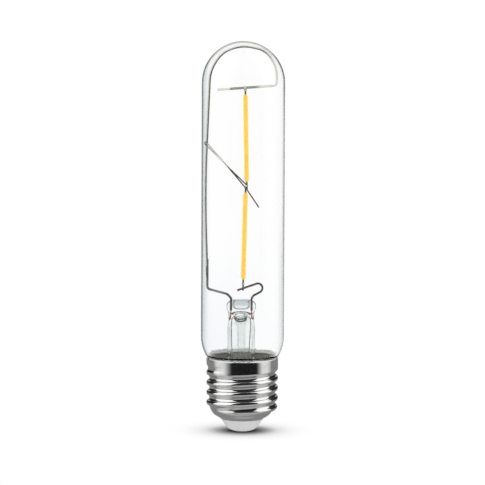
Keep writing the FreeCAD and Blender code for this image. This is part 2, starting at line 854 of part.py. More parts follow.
def rounded_wire(points, bends):
    edges = []
    start = points[0]
    for number, bend in enumerate(bends, start=1):
        back = (points[number - 1] - points[number]).normalize()
        ahead = (points[number + 1] - points[number]).normalize()
        half_angle = back.getAngle(ahead) / 2
        run = float(bend) / math.tan(half_angle)
        centre = points[number] + (back + ahead).normalize() * (float(bend) / math.sin(half_angle))
        middle = centre + (points[number] - centre).normalize() * float(bend)
        arc_start = points[number] + back * run
        arc_end = points[number] + ahead * run
        edges.append(Part.LineSegment(start, arc_start).toShape())
        edges.append(Part.Arc(arc_start, middle, arc_end).toShape())
        start = arc_end
    edges.append(Part.LineSegment(start, points[-1]).toShape())
    return Part.Wire(edges)


thread_round = size.thread_round
centre_drop = (thread_round * thread_round * 4 - size.thread_pitch * size.thread_pitch / 4).root()
thread_depth = thread_round * 2 - centre_drop
thread_root = size.thread_radius - thread_depth


def thread_height(level, angle):
    """How far the rolled thread stands out of its root: equal crest and root arcs, faded at the ends."""
    pitch = float(size.thread_pitch)
    bend = float(thread_round)
    depth = float(thread_depth)
    lead = float(size.thread_phase) + pitch * angle / (2 * math.pi)
    crest = lead + pitch * round((level - lead) / pitch)
    away = abs(level - crest)
    if away <= pitch / 4:
        height = depth - bend + math.sqrt(bend ** 2 - away ** 2)
    else:
        height = bend - math.sqrt(max(bend ** 2 - (pitch / 2 - away) ** 2, 0.0))
    fade = float(size.thread_fade)
    run_in = ease((float(size.thread_end) - crest) / fade)
    run_out = ease((crest - float(size.thread_start)) / fade)
    return height * run_in * run_out


def ease(share):
    share = min(max(share, 0.0), 1.0)
    return share * share * (3 - 2 * share)


def split_curve(spots):
    """One smooth curve through the spots, as a row of shorter edges."""
    curve = Part.BSplineCurve()
    curve.interpolate(spots)
    knots = curve.getKnots()
    ends = [*knots[:-1:SPANS_PER_FACE], knots[-1]]
    edges = []
    for start, end in zip(ends, ends[1:]):
        piece = curve.copy()
        piece.segment(start, end)
        edges.append(piece.toShape())
    return edges


def screw_shell():
    """The sheet is cut by planes through the axis; narrow strips join each cut's outline to the next."""
    profile = meridian()
    insets = (0.0, float(size.cap_sheet))
    cuts = []
    for step in range(STRIPS):
        angle = 2 * math.pi * step / STRIPS
        turn = FreeCAD.Rotation(FreeCAD.Vector(0, 0, 1), math.degrees(angle))
        lines = []
        for inset in insets:
            spots = [
                turn.multVec(point + normal * (thread_height(point.z, angle) - inset))
                for point, normal in profile
            ]
            lines.append((split_curve(spots), spots[0], spots[-1]))
        (outer, outer_mouth, outer_rim), (inner, inner_mouth, inner_rim) = lines
        mouth = Part.LineSegment(outer_mouth, inner_mouth).toShape()
        rim = Part.LineSegment(outer_rim, inner_rim).toShape()
        cuts.append([*outer, rim, *inner, mouth])
    faces = []
    for step, cut in enumerate(cuts):
        following = cuts[(step + 1) % STRIPS]
        faces += [Part.makeRuledSurface(*pair) for pair in zip(cut, following)]
    shell = Part.Shell(faces)
    shell.sewShape()
    solid = Part.Solid(shell)
    if solid.Volume < 0:
        solid.reverse()
    item = doc.addObject("Part::Feature", "screw_shell")
    item.Label = "screw_shell"
    item.Shape = solid
    item.Placement = FreeCAD.Placement()
    sub_parts.append(item)


def base_cement():
    """The ring of cement that holds the neck of the glass in the collar."""
    body = new_body("base_cement")
    sketch = new_sketch(body, "Section")
    collar_bore = size.collar_radius - size.cap_sheet - size.fit_gap / 2
    top = size.cap_height - size.cement_depth
    outline = Outline(sketch, collar_bore, size.cement_bottom)
    outline.line(collar_bore, top)
    outline.line(size.neck_radius + size.cement_taper, top)
    outline.line(size.neck_radius + size.fit_gap, size.cement_bottom + size.cement_foot)
    outline.line(size.neck_radius + size.fit_gap, size.cement_bottom)
    outline.close()
    revolve(body, sketch)


# Insulator and centre contact


def insulator():
    """The moulded button that closes the shell: a cone below it and a flange inside it."""
    body = new_body("base_insulator")
    sketch = new_sketch(body, "Section")
    gap = size.fit_gap
    recess = size.contact_radius + gap
    pin_hole = size.contact_pin + gap / 2
    throat = size.mouth_radius - size.cap_sheet - gap
    slope = (size.cone_knee_level - size.mouth_level) / (size.cone_knee_radius - size.mouth_radius)
    flange_foot = size.mouth_level + (throat - size.mouth_radius) * slope + size.flange_lift
    flange_edge = flange_foot + (size.insulator_flange - throat) * slope * size.flange_steepness
    outline = Outline(sketch, pin_hole, size.insulator_top)
    outline.line(pin_hole, size.contact_disc + gap)
    outline.line(recess, size.contact_disc + gap)
    outline.line(recess, size.insulator_bottom)
    outline.line(size.insulator_foot, size.insulator_bottom)
    outline.arc(size.insulator_knee_radius, size.insulator_knee_level, size.insulator_bend, left=True)
    outline.line(size.mouth_radius - gap, size.mouth_level - gap)
    outline.line(throat, size.mouth_level)
    outline.line(throat, flange_foot)
    outline.line(size.insulator_flange, flange_edge)
    outline.line(size.insulator_flange, size.insulator_top)
    outline.close()
    revolve(body, sketch)


def centre_contact():
    """A round disc on a riveted pin."""
    body = new_body("centre_contact")
    sketch = new_sketch(body, "Section")
    bend = size.contact_round
    outline = Outline(sketch, 0, 0)
    outline.line(size.contact_radius - bend, 0)
    outline.arc(size.contact_radius, bend, bend, left=True)
    outline.line(size.contact_radius, size.contact_disc)
    outline.line(size.contact_pin, size.contact_disc)
    outline.line(size.contact_pin, size.contact_pin_top)
    outline.line(0, size.contact_pin_top)
    outline.close()
    revolve(body, sketch)


# Driver in the base


def driver_board():
    body = new_body("driver_board")
    sketch = new_sketch(body, "Outline", "XY_Plane", size.board_level)
    draw_circle(sketch, 0, 0, size.board_radius)
    pad(body, sketch, size.board_thickness)


def package(label, across, rows):
    """A flat moulded chip package on rows of legs that rest on the board."""
    body = new_body(label)
    block = new_sketch(body, "Block", "XY_Plane", size.package_leg / 2)
    draw_rectangle(block, size.package_width, size.package_length)
    pad(body, block, size.package_height)
    spacing = size.package_length / rows
    for row in range(rows):
        leg = new_sketch(body, f"Leg{row}", "XY_Plane")
        middle = spacing * (row - (rows - 1) / 2)
        half = size.package_leg / 2
        out = size.package_width / 2 + size.package_foot
        outline = Outline(leg, -out, middle - half)
        outline.line(out, middle - half)
        outline.line(out, middle + half)
        outline.line(-out, middle + half)
        outline.close()
        pad(body, leg, size.package_leg)
    place(body, x=across, z=board_top)


def capacitor():
    body = new_body("smoothing_capacitor")
    sketch = new_sketch(body, "Section")
    bend = size.capacitor_round
    outline = Outline(sketch, 0, 0)
    outline.line(size.capacitor_radius, 0)
    outline.line(size.capacitor_radius, -size.capacitor_length + bend)
    outline.arc(size.capacitor_radius - bend, -size.capacitor_length, bend, left=False)
    outline.line(0, -size.capacitor_length)
    outline.close()
    revolve(body, sketch)
    place(body, x=size.capacitor_offset, z=size.board_level)


def fusible_resistor():
    """The resistor that joins the centre contact to the board, on its own two leads."""
    body = new_body("fusible_resistor")
    sketch = new_sketch(body, "Section")
    lead = size.resistor_lead
    middle = (size.contact_pin_top + size.board_level) / 2
    foot = middle - size.resistor_length / 2
    head = middle + size.resistor_length / 2
    bend = size.resistor_round
    wide = size.resistor_radius
    outline = Outline(sketch, 0, size.contact_pin_top)
    outline.line(lead, size.contact_pin_top)
    outline.line(lead, foot)
    outline.line(wide - bend, foot)
    outline.arc(wide, foot + bend, bend, left=True)
    outline.line(wide, head - bend)
    outline.arc(wide - bend, head, bend, left=True)
    outline.line(lead, head)
    outline.line(lead, size.board_level)
    outline.line(0, size.board_level)
    outline.close()
    revolve(body, sketch)


def shell_lead():
    """The wire from the board's edge to the inside of the shell."""
    wall = thread_root - size.cap_sheet
    contact_level = size.neck_end - size.outer_wire
    corners = [
        (wall - size.shell_lead_inset, board_top),
        (wall - size.shell_lead_inset, contact_level - size.soft_bend),
        (wall - size.fit_gap, contact_level),
    ]
    bent_wire("shell_lead", size.outer_wire, corners, [size.soft_bend])


glass_envelope()
glass_stem()
exhaust_tube()
support_wire()
lead_wires()
seal_wires()
brace_wire()
filament("upper", length(0), size.upper_place, upper_filament_plane, upper_middle, size.upper_tilt)
filament(
    "lower",
    size.lower_coat_rise,
    size.lower_place,
    lower_filament_plane,
    lower_middle,
    size.lower_tilt,
)
screw_shell()
base_cement()
insulator()
centre_contact()
driver_board()
package("bridge_rectifier", -size.package_offset, 2)
package("driver_chip", size.package_offset, 4)
capacitor()
fusible_resistor()
shell_lead()
doc.recompute()

failed = [item.Label for item in doc.Objects if {"Invalid", "Error"} & set(item.State)]
if failed:
    raise SystemExit(f"these features failed: {failed}")
for item in sub_parts:
    if item.Shape.isNull() or not item.Shape.isValid() or not item.Shape.Solids:
        raise SystemExit(f"{item.Label} is not a valid solid")

os.makedirs("parts", exist_ok=True)
for item in sub_parts:
    item.Shape.exportStep(f"parts/{item.Label}.step")
    print(item.Label, len(item.Shape.Solids), round(item.Shape.Volume, 2))
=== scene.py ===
import bmesh
import bpy
import math
from mathutils import Matrix, Vector, noise


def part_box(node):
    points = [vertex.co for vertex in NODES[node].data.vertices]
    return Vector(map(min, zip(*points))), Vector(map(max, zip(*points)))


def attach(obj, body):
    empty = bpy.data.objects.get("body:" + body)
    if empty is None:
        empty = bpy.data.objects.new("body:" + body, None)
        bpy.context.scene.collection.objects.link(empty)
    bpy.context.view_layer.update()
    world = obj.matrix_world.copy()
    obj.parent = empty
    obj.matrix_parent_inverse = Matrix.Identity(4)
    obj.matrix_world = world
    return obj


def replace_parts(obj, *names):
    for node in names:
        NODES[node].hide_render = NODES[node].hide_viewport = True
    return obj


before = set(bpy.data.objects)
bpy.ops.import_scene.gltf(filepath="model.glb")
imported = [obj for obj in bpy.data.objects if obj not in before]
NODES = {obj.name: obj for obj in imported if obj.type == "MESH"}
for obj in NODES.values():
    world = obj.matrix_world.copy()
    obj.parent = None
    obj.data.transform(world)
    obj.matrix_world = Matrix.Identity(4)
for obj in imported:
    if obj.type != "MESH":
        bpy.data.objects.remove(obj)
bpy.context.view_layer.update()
MM = 0.001

# Down to the camera, sizes and places are in millimetres from the frame's origin. A pair named for
# an edge, a side, a band or levels says where a soft step in a finish starts and where it ends; a
# share says how much of an effect is left.

# Glass envelope: corners of its side from the shoulder down to the foot, and their bends
GLASS_WALL = 0.8
SHOULDER = (15.1, 31.7)
SHOULDER_BEND = 14.0
UNDERCUT = (13.3, 27.75)
UNDERCUT_BEND = 0.9
NECK = (11.4, 26.75)
NECK_BEND = 0.9
ENVELOPE_STEPS = 256
DOME_STEPS = 48
GLASS_ROW = 2.0
OUTER_SKIN = "outer_skin"

# Painted shade on the glass: the outline where it is seen edge on, which thins out at the top
# of the dome and down the right side; a faint tint low down; a grey band inside each edge; a dark
# tint behind the neck
GLASS_EDGE = (0.66, 0.77)
DOME_LEVELS = (134, 142)
DOME_SHARE = 0.75
PALE_SIDE = (8, 13)
PALE_LOW_LEVELS = (35, 80)
PALE_LOW_SHARES = (0.6, 0.28)
PALE_HIGH_LEVELS = (110, 128)
# A faint painted shade low in the tube
LOW_SHADE_LEVELS = (24, 75)
LOW_SHADE_SIDE = (-12, 8)
LOW_SHADE_RIGHT_SHARE = 0.3
# Grey bands of painted shade inside both edges
LEFT_BAND = (-14.6, -12.4)
RIGHT_BAND = (12.9, 14.7)
RIGHT_BAND_LEVELS = (55, 85)
RIGHT_BAND_SHARE = 0.75
# A dark painted shade behind the neck
NECK_SHADE_LEVELS = (28.05, 28.55)
NECK_SHADE_SIDE = (-8, 0)
NECK_SHADE_RAGGED = 1.2
NECK_SHADE_SHARES = (0.8, 1.0)

# Screw cap: its sheet, collar and lip; the thread's equal arcs, pitch and phase, where it fades in
# and where its top groove runs out; the cone and the mouth below; the steps of its mesh
CAP_SHEET = 0.3
COLLAR_RADIUS = 13.05
COLLAR_TOP = 26.7
LIP = (12.28, 26.97)
LIP_BEND = 0.15
THREAD_ROUND = 1.025
THREAD_PITCH = 3.629
THREAD_PHASE = 12.23
THREAD_START = 5.7
THREAD_FADE = 3.5
GROOVE_END = 22.4
GROOVE_FADE = 1.45
CONE_TOP = 8.7
CONE_BEND = 3.0
CONE_KNEE = (10.0, 5.95)
MOUTH = (7.8, 4.55)
CAP_STEPS = 200
CAP_ROW = 0.16
BEND_STEPS = 10
MERGE_GAP = 0.0005

# Stem, from its own axis: level, half width and half depth of each ring, and how square it is;
# the outside runs from the flare up to the top of the press
STEM_AXIS = -0.45
STEM_POINTS = 72
STEM_ROW = 0.22
STEM_OUTSIDE = (
    (21.7, 10.6, 10.6, 2.0),
    (22.3, 9.9, 9.9, 2.0),
    (23.4, 7.6, 7.6, 2.0),
    (25.0, 6.0, 6.0, 2.0),
    (27.2, 5.2, 5.2, 2.0),
    (30.0, 5.0, 5.0, 2.0),
    (36.8, 5.0, 5.0, 2.0),
    (38.6, 4.92, 4.7, 2.0),
    (40.2, 4.72, 3.7, 2.1),
    (41.6, 4.62, 2.75, 2.3),
    (43.0, 4.72, 1.75, 2.6),
    (44.0, 4.95, 1.25, 3.0),
    (44.8, 5.2, 1.15, 3.0),
    (45.7, 5.35, 1.15, 2.8),
    (46.6, 5.25, 1.15, 2.6),
    (47.3, 4.85, 1.05, 2.4),
    (47.85, 3.9, 0.85, 2.2),
    (48.15, 2.9, 0.6, 2.0),
    (48.28, 1.6, 0.3, 2.0),
)
STEM_INSIDE = (
    (21.9, 9.95, 9.95, 2.0),
    (22.9, 8.0, 8.0, 2.0),
    (24.2, 5.7, 5.7, 2.0),
    (26.4, 4.55, 4.55, 2.0),
    (29.0, 4.25, 4.25, 2.0),
    (36.8, 4.25, 4.25, 2.0),
    (38.6, 4.15, 3.8, 2.0),
    (39.8, 3.85, 2.9, 2.1),
    (40.9, 3.4, 1.9, 2.2),
    (41.7, 2.7, 1.0, 2.2),
    (42.1, 1.5, 0.45, 2.0),
)
# The stem's painted dark outline, where its glass is seen edge on
STEM_EDGE = (0.38, 0.84)

# Barrel of the press: its level, half width and half height, and how far it stands out
BARREL_LEVEL = 46.55
BARREL_HALF = (2.85, 1.75)
BARREL_RISE = 1.4
# Painted shade over the upper part of the barrel
BARREL_SHADE_LEVELS = (45.65, 46.85)
BARREL_SOFT = (0.3, 0.175)
# A painted dark line round the front of the barrel
BARREL_RIM = ((0.5, 0.75), (1.0, 1.15))
BARREL_RIM_SHARE = 0.75
BARREL_FRONT_SIDE = (-1.3, -0.7)

# Blow hole, from the stem's axis: its centre, half sizes, depth and raised lip; the pit, the lip
# and the painted dark ring are placed in shares of the half sizes
BLOW_HOLE = (-0.28, 42.05)
BLOW_HOLE_SIZE = (1.5, 1.0)
BLOW_HOLE_DEPTH = 0.9
BLOW_HOLE_LIP = 0.4
PIT_END = 1.25
LIP_REACH = 1.35
LIP_WIDTH = 0.3
HOLE_RING = ((1.0, 1.3), (1.5, 1.75))
HOLE_RING_LEVELS = (-0.5, 1.0)
HOLE_TOP_SHARE = 0.35
HOLE_FRONT_SIDE = (-1.2, -0.5)

# Pump tube, from the stem's axis: its side from the round tip at the foot up to the flared head
PUMP_TUBE_SIDE = ((0, 18.6), (1.55, 20.15), (1.55, 38.5), (2.0, 39.9), (2.0, 40.9), (1.55, 41.6))
PUMP_TUBE_BENDS = (1.2, 1.5, 0.8, 0.6)
PUMP_TUBE_WALL = 0.5
PUMP_TUBE_ROW = 1.5

# Filament coats: the taper at each end, the section's half width and depth and how square it is,
# the gentle swelling along it, and a painted glow that lifts their yellow, as the filament is unlit
COAT_TAPER = (
    (0.0, 0.42),
    (0.3, 0.7),
    (0.7, 0.9),
    (1.2, 1.0),
    (2.2, 1.03),
    (3.6, 1.02),
    (6.0, 1.0),
    (10.0, 1.0),
)
COAT_HALF_WIDTH = 0.92
COAT_HALF_DEPTH = 0.65
COAT_SQUARE = 2.2
COAT_SWELL = 0.035
COAT_WAVES = 0.35
COAT_POINTS = 28
COAT_ROW = 0.5
COAT_EDGE = (0.42, 0.82)
COAT_PAINTED_GLOW = 0.42

# Mid brace: the long leg, the fold at the glass and the short leg, seen from the front; the legs
# cross on their way to the joint, and the fold passes before the support wire
BRACE_ROUTE = (
    (5.78, 82.1),
    (1.25, 88.85),
    (-5.16, 96.5),
    (-13.6, 106.2),
    (-14.0, 105.5),
    (-5.16, 96.5),
    (1.16, 90.45),
)
BRACE_BENDS = (6.0, 12.0, 0.25, 0.25, 12.0)
BRACE_RADIUS = 0.25
BRACE_POINTS = 12
BRACE_ROW = 1.0

# Depth of the brace: the long leg leans forwards from the joint, the short leg from the crossing
JOINT_ACROSS = 1.25
CROSSING_ACROSS = -5.16
LONG_LEG_DEPTH = -0.84
LONG_LEG_LEAN = -0.06
SHORT_LEG_DEPTH = -0.8
SHORT_LEG_SWAY = -0.85
SHORT_LEG_REACH = 6

# Weld of the upper tab on the bar
BAR_WELD = (0.6, -1.0, 125.9)
BAR_WELD_SIZE = (0.36, 0.42, 0.62)
WELD_LUMPS = 0.18
WELD_WAVES = 1.7

# Painted highlights on the wires, and their scorched stretches
NICKEL_HIGHLIGHT = (0.86, 0.85, 0.8)
LEAD_HIGHLIGHT = (0.27, 0.265, 0.26)
BRACE_HIGHLIGHT = (0.97, 0.96, 0.92)
SCORCHED = (0.055, 0.05, 0.05)
# Where the brace takes its painted highlight
BRACE_SIDES = ((-13.3, -12.7), (-7.5, -4.5))
BRACE_UPPER = (0.2, 0.7)
BRACE_UPPER_SHARE = 0.15
# Where the left lead takes its painted highlight
LEAD_SIDES = ((-12.4, -11.2), (-8, -5.5))
SCORCH_LEVELS = (59.5, 61.5)
# Painted highlights on the support wire's bar and arch
BAR_SIDE = (-12, -11.4)
BAR_LEVELS = (127, 128.5)
BAR_TIP_SIDE = (-5.1, -4.7)
BAR_END_SIDE = (2.5, 7.5)
BAR_SHARE = 0.3
ARCH_CENTRE = 127.5
ARCH_RIGHT_SIDE = (7, 11)
ARCH_OUTSIDE = (-0.1, 0.35)

# How far the grain takes a roughness down and up, and the middle of a noise's range
WIRE_GLOSS = (0.06, 0.08)
PLAIN_GLOSS = (0.06, 0.06)
NOISE_MIDDLE = (0.3, 0.7)

# Drawn wires: dull shade, light shade, roughness, metallic
WIRE_FINISHES = {
    "nickel_wire": ((0.04, 0.037, 0.028), (0.12, 0.115, 0.09), 0.32, 0.4),
    "oxidised_lead": ((0.05, 0.046, 0.046), (0.15, 0.145, 0.14), 0.42, 0.25),
    "tinned_wire": ((0.1, 0.1, 0.1), (0.25, 0.24, 0.23), 0.3, 1.0),
    "dumet_copper": ((0.42, 0.13, 0.07), (0.6, 0.24, 0.13), 0.35, 1.0),
    "tab_metal": ((0.04, 0.037, 0.035), (0.14, 0.135, 0.13), 0.3, 0.6),
    "brace_metal": ((0.045, 0.042, 0.03), (0.12, 0.115, 0.09), 0.35, 0.2),
}

# Plain finishes: two close shades, roughness, blotches and grains per millimetre, depth of the
# grain, metallic, and a painted glow
PLAIN_FINISHES = {
    "strip_ceramic": ((0.86, 0.84, 0.76), (0.93, 0.91, 0.84), 0.6, 1.0, 8.0, 0.01, 0.0, 0.0),
    "chip_crystal": ((0.5, 0.6, 0.72), (0.6, 0.68, 0.78), 0.2, 2.0, 10.0, 0.002, 0.0, 0.0),
    # The cement's glow is painted light
    "cap_cement": ((0.4, 0.39, 0.31), (0.66, 0.65, 0.6), 0.8, 0.8, 5.0, 0.05, 0.0, 0.35),
    "grey_insulator": ((0.69, 0.69, 0.695), (0.74, 0.74, 0.745), 0.35, 0.4, 3.0, 0.01, 0.0, 0.0),
    "melted_nickel": ((0.7, 0.67, 0.58), (0.85, 0.82, 0.74), 0.4, 1.5, 6.0, 0.02, 0.0, 0.0),
    "contact_metal": ((0.6, 0.59, 0.56), (0.72, 0.71, 0.69), 0.3, 0.8, 6.0, 0.01, 1.0, 0.0),
    "board_laminate": ((0.3, 0.33, 0.2), (0.38, 0.4, 0.27), 0.5, 0.8, 4.0, 0.02, 0.0, 0.0),
    "black_moulding": ((0.03, 0.03, 0.032), (0.05, 0.05, 0.052), 0.5, 1.0, 8.0, 0.01, 0.0, 0.0),
    "capacitor_can": ((0.62, 0.63, 0.65), (0.74, 0.75, 0.77), 0.3, 0.5, 5.0, 0.005, 1.0, 0.0),
    "resistor_body": ((0.3, 0.38, 0.42), (0.36, 0.44, 0.48), 0.4, 1.0, 5.0, 0.02, 0.0, 0.0),
}

# CAD nodes that stay, and their finishes
NODE_FINISHES = {
    "long_support_wire": "nickel_wire",
    "left_lead_wire": "oxidised_lead",
    "right_lead_wire": "oxidised_lead",
    "left_dumet_wire": "dumet_copper",
    "right_dumet_wire": "dumet_copper",
    "left_outer_lead": "tinned_wire",
    "right_outer_lead": "tinned_wire",
    "shell_lead": "tinned_wire",
    "base_cement": "cap_cement",
    "base_insulator": "grey_insulator",
    "centre_contact": "contact_metal",
    "driver_board": "board_laminate",
    "bridge_rectifier": "black_moulding",
    "driver_chip": "black_moulding",
    "smoothing_capacitor": "capacitor_can",
    "fusible_resistor": "resistor_body",
    "upper_filament_strip": "strip_ceramic",
    "upper_filament_chips": "chip_crystal",
    "upper_filament_top_tab": "tab_metal",
    "upper_filament_bottom_tab": "tab_metal",
    "lower_filament_strip": "strip_ceramic",
    "lower_filament_chips": "chip_crystal",
    "lower_filament_top_tab": "tab_metal",
    "lower_filament_bottom_tab": "tab_metal",
}

# Camera: the photo's square frame is 485 pixels wide, at 2.75 pixels to a millimetre; distance and
# range are in metres
IMAGE_WIDTH = 485
PIXELS_PER_MM = 2.75
CAMERA_HEIGHT_ANGLE = math.radians(7.5)
CAMERA_ROLL = math.radians(0.25)
CAMERA_DISTANCE = 2.5
CAMERA_RANGE = 100.0
AIM = Vector((-0.11, 0.0, 69.1)) * MM
SENSOR_WIDTH = 36.0

# Studio, in degrees: the two white cards by their compass angles from the camera's side, positive
# to the right, the glow at their feet, and how they lean over the top of the room
LEFT_CARD = ((-110, -104), (-40, -32))
RIGHT_CARD = ((48, 56), (105, 111))
LEFT_GLOW = ((-118, -86), (-68, -34))
RIGHT_GLOW = ((46, 72), (86, 122))
GLOW_LEVELS = (-9, 3)
CARD_LEVELS = (-9, 4)
CARD_LIGHT = (0.85, 1.3)
LEFT_LEAN = ((-170, -162), (-110, -104))
RIGHT_LEAN = ((104, 110), (162, 170))
LEAN_START = (38, 46)

# The room above the horizon, with a paler sweep behind the lamp, and the table under it
HORIZON = (-19, -13)
ROOM_LEVELS = (0, 30)
ROOM_DARK = 0.012
ROOM_DIM = 0.03
SWEEP_TOP = 0.55
SWEEP_SIDES = ((-166, -154), (154, 166))
SWEEP_LEVELS = ((2, 10), (50, 60))
TABLE_FRONT = 0.47
TABLE_SIDE = 0.6
TABLE_REAR = 0.27
TABLE_REAR_LEVELS = (-4, 0)
TABLE_UNDER = 0.42
TABLE_UNDER_LEVELS = (-75, -55)

# Light on dull surfaces: a little stronger from both sides than from the front and back
SIDE_SHARE = (0.2, 0.9)
SIDE_LIGHT = (0.85, 1.25)

# Floor, in metres, with the contact shadow
FLOOR_HALF = 20.0
FLOOR_BOUNCE = 0.85
SHADOW_REACH = 0.031
SHADOW_EDGES = (0.17, 0.89)
SHADOW_DARK = 0.02
SHADOW_RAYS = 24


# Node helpers


def add(tree, kind, inputs=None, **settings):
    """Adds a shader node; an input is given a value, or a socket to link to."""
    node = tree.nodes.new("ShaderNode" + kind)
    for name, value in settings.items():
        setattr(node, name, value)
    for name, value in (inputs or {}).items():
        if isinstance(value, bpy.types.NodeSocket):
            tree.links.new(value, node.inputs[name])
        else:
            node.inputs[name].default_value = value
    return node


def compute(tree, operation, first, second=0.0, third=0.0):
    """The output of a sum; each term is a value or a socket."""
    return add(tree, "Math", {0: first, 1: second, 2: third}, operation=operation).outputs[0]


def multiply(tree, first, second):
    """The product of two values or sockets."""
    return compute(tree, "MULTIPLY", first, second)


def compute_vector(tree, operation, first, second=(0, 0, 0)):
    """The outputs of a vector sum: "Vector", or "Value" for a length or a dot product."""
    return add(tree, "VectorMath", {0: first, 1: second}, operation=operation).outputs


def mix(tree, mask, off, on):
    """A value between two, by a mask from 0 to 1."""
    return add(tree, "Mix", {0: mask, 2: off, 3: on}).outputs[0]


def blend(tree, factor, first, second):
    """A colour between two, by a factor from 0 to 1."""
    node = add(tree, "Mix", {"Factor": factor}, data_type="RGBA")
    for socket, value in ((node.inputs[6], first), (node.inputs[7], second)):
        if isinstance(value, bpy.types.NodeSocket):
            tree.links.new(value, socket)
        else:
            socket.default_value = (*value, 1.0)
    return node.outputs[2]


def ease(tree, value, low, high, start=0.0, end=1.0):
    """A smooth step from start to end as the value goes from low to high."""
    inputs = {"Value": value, "From Min": low, "From Max": high, "To Min": start, "To Max": end}
    return add(tree, "MapRange", inputs, interpolation_type="SMOOTHSTEP").outputs[0]


def ease_mm(tree, length, edge, start=0.0, end=1.0):
    """A smooth step along a length; its edge is a pair in millimetres."""
    low, high = edge
    return ease(tree, length, low * MM, high * MM, start, end)


def sector(tree, value, rise, fall):
    """1 between two soft edges; the value rises over the first pair and falls over the second."""
    return multiply(tree, ease(tree, value, *rise), ease(tree, value, *fall, 1.0, 0.0))


def sector_mm(tree, length, rise, fall):
    """1 between two soft edges of a length; both edges are pairs in millimetres."""
    return multiply(tree, ease_mm(tree, length, rise), ease_mm(tree, length, fall, 1.0, 0.0))


def new_finish(name, sockets):
    """A material with a Principled shader; plain values are set on the shader's own sockets."""
    material = bpy.data.materials.new(name)
    material.use_nodes = True
    shader = material.node_tree.nodes["Principled BSDF"]
    for socket, value in sockets.items():
        shader.inputs[socket].default_value = value
    return material, material.node_tree, shader


def object_place(tree):
    """The place on the object, in metres."""
    return add(tree, "TexCoord").outputs["Object"]


def object_axes(tree):
    """The place on the object, split into its X, Y and Z."""
    return add(tree, "SeparateXYZ", {0: object_place(tree)}).outputs


def edge_on(tree):
    """0 where a surface faces the viewer and 1 where it is seen edge on."""
    return add(tree, "LayerWeight", {"Blend": 0.5}).outputs["Facing"]


def mottle_group():
    """Shared effect: soft blotches and a fine grain, in millimetres on the object."""
    group = bpy.data.node_groups.new("mottle", "ShaderNodeTree")
    sockets = (
        ("Place", "INPUT", "Vector"),
        ("Blotch per mm", "INPUT", "Float"),
        ("Grain per mm", "INPUT", "Float"),
        ("Stretch", "INPUT", "Vector"),
        ("Blotch", "OUTPUT", "Float"),
        ("Grain", "OUTPUT", "Float"),
    )
    for name, way, kind in sockets:
        group.interface.new_socket(name, in_out=way, socket_type="NodeSocket" + kind)
    given = group.nodes.new("NodeGroupInput").outputs
    result = group.nodes.new("NodeGroupOutput").inputs
    stretched = compute_vector(group, "MULTIPLY", given["Place"], given["Stretch"])["Vector"]
    for name, detail in (("Blotch", 3.0), ("Grain", 2.0)):
        scale = multiply(group, given[f"{name} per mm"], 1 / MM)
        pattern = add(group, "TexNoise", {"Vector": stretched, "Scale": scale, "Detail": detail})
        group.links.new(pattern.outputs["Fac"], result[name])
    return group


MOTTLE = mottle_group()


def mottle(tree, blotch=1.0, grain=1.0, stretch=(1, 1, 1)):
    """Blotches and grain of so many per millimetre, each from 0 to 1."""
    node = tree.nodes.new("ShaderNodeGroup")
    node.node_tree = MOTTLE
    tree.links.new(object_place(tree), node.inputs["Place"])
    node.inputs["Blotch per mm"].default_value = blotch
    node.inputs["Grain per mm"].default_value = grain
    node.inputs["Stretch"].default_value = stretch
    return node.outputs["Blotch"], node.outputs["Grain"]


def spread(tree, value, low, high):
    """Maps the middle of a noise's range onto low to high."""
    start, end = NOISE_MIDDLE
    inputs = {"Value": value, "From Min": start, "From Max": end, "To Min": low, "To Max": high}
    return add(tree, "MapRange", inputs).outputs[0]


def bump(tree, shader, height, depth_mm):
    """Raises a height from 0 to 1 by a depth in millimetres."""
    inputs = {"Height": height, "Distance": depth_mm * MM, "Strength": 1.0}
    tree.links.new(add(tree, "Bump", inputs).outputs["Normal"], shader.inputs["Normal"])


def paint(tree, shader, socket, value):
    """Links a value or a colour to one of the shader's sockets."""
    tree.links.new(value, shader.inputs[socket])


# Finishes


def neck_shade_mask(tree, axes):
    """A dark painted shade behind the neck; its ragged edge stands highest at the back."""
    ragged, grain = mottle(tree, blotch=0.45, grain=3.0)
    ragged = compute(tree, "SUBTRACT", ragged, 0.5)
    height = compute(tree, "MULTIPLY_ADD", ragged, -NECK_SHADE_RAGGED * MM, axes["Z"])
    low = ease_mm(tree, height, NECK_SHADE_LEVELS, 1.0, 0.0)
    behind = ease_mm(tree, axes["Y"], NECK_SHADE_SIDE)
    return multiply(tree, multiply(tree, low, behind), spread(tree, grain, *NECK_SHADE_SHARES))


def painted_low_shade(tree, axes):
    """A faint painted shade low in the tube, stronger on the left."""
    low = ease_mm(tree, axes["Z"], LOW_SHADE_LEVELS, 1.0, 0.0)
    return multiply(tree, low, ease_mm(tree, axes["X"], LOW_SHADE_SIDE, 1.0, LOW_SHADE_RIGHT_SHARE))


def painted_glass_bands(tree, axes):
    """Painted shade: a grey band all up the left side, and a weaker one low on the right."""
    left = ease_mm(tree, axes["X"], LEFT_BAND, 1.0, 0.0)
    right = ease_mm(tree, axes["X"], RIGHT_BAND, 0.0, RIGHT_BAND_SHARE)
    right = multiply(tree, right, ease_mm(tree, axes["Z"], RIGHT_BAND_LEVELS, 1.0, 0.0))
    return compute(tree, "ADD", left, right)


def painted_glass_outline(tree, axes, outside):
    """The painted dark outline of the outer skin, paler over the dome and down the right side."""
    edge = multiply(tree, ease(tree, edge_on(tree), *GLASS_EDGE), outside)
    edge = multiply(tree, edge, ease_mm(tree, axes["Z"], DOME_LEVELS, 1.0, DOME_SHARE))
    pale = ease_mm(tree, axes["Z"], PALE_LOW_LEVELS, *PALE_LOW_SHARES)
    pale = multiply(tree, pale, ease_mm(tree, axes["Z"], PALE_HIGH_LEVELS, 1.0, 0.0))
    pale = multiply(tree, pale, ease_mm(tree, axes["X"], PALE_SIDE))
    return multiply(tree, edge, compute(tree, "SUBTRACT", 1.0, pale))


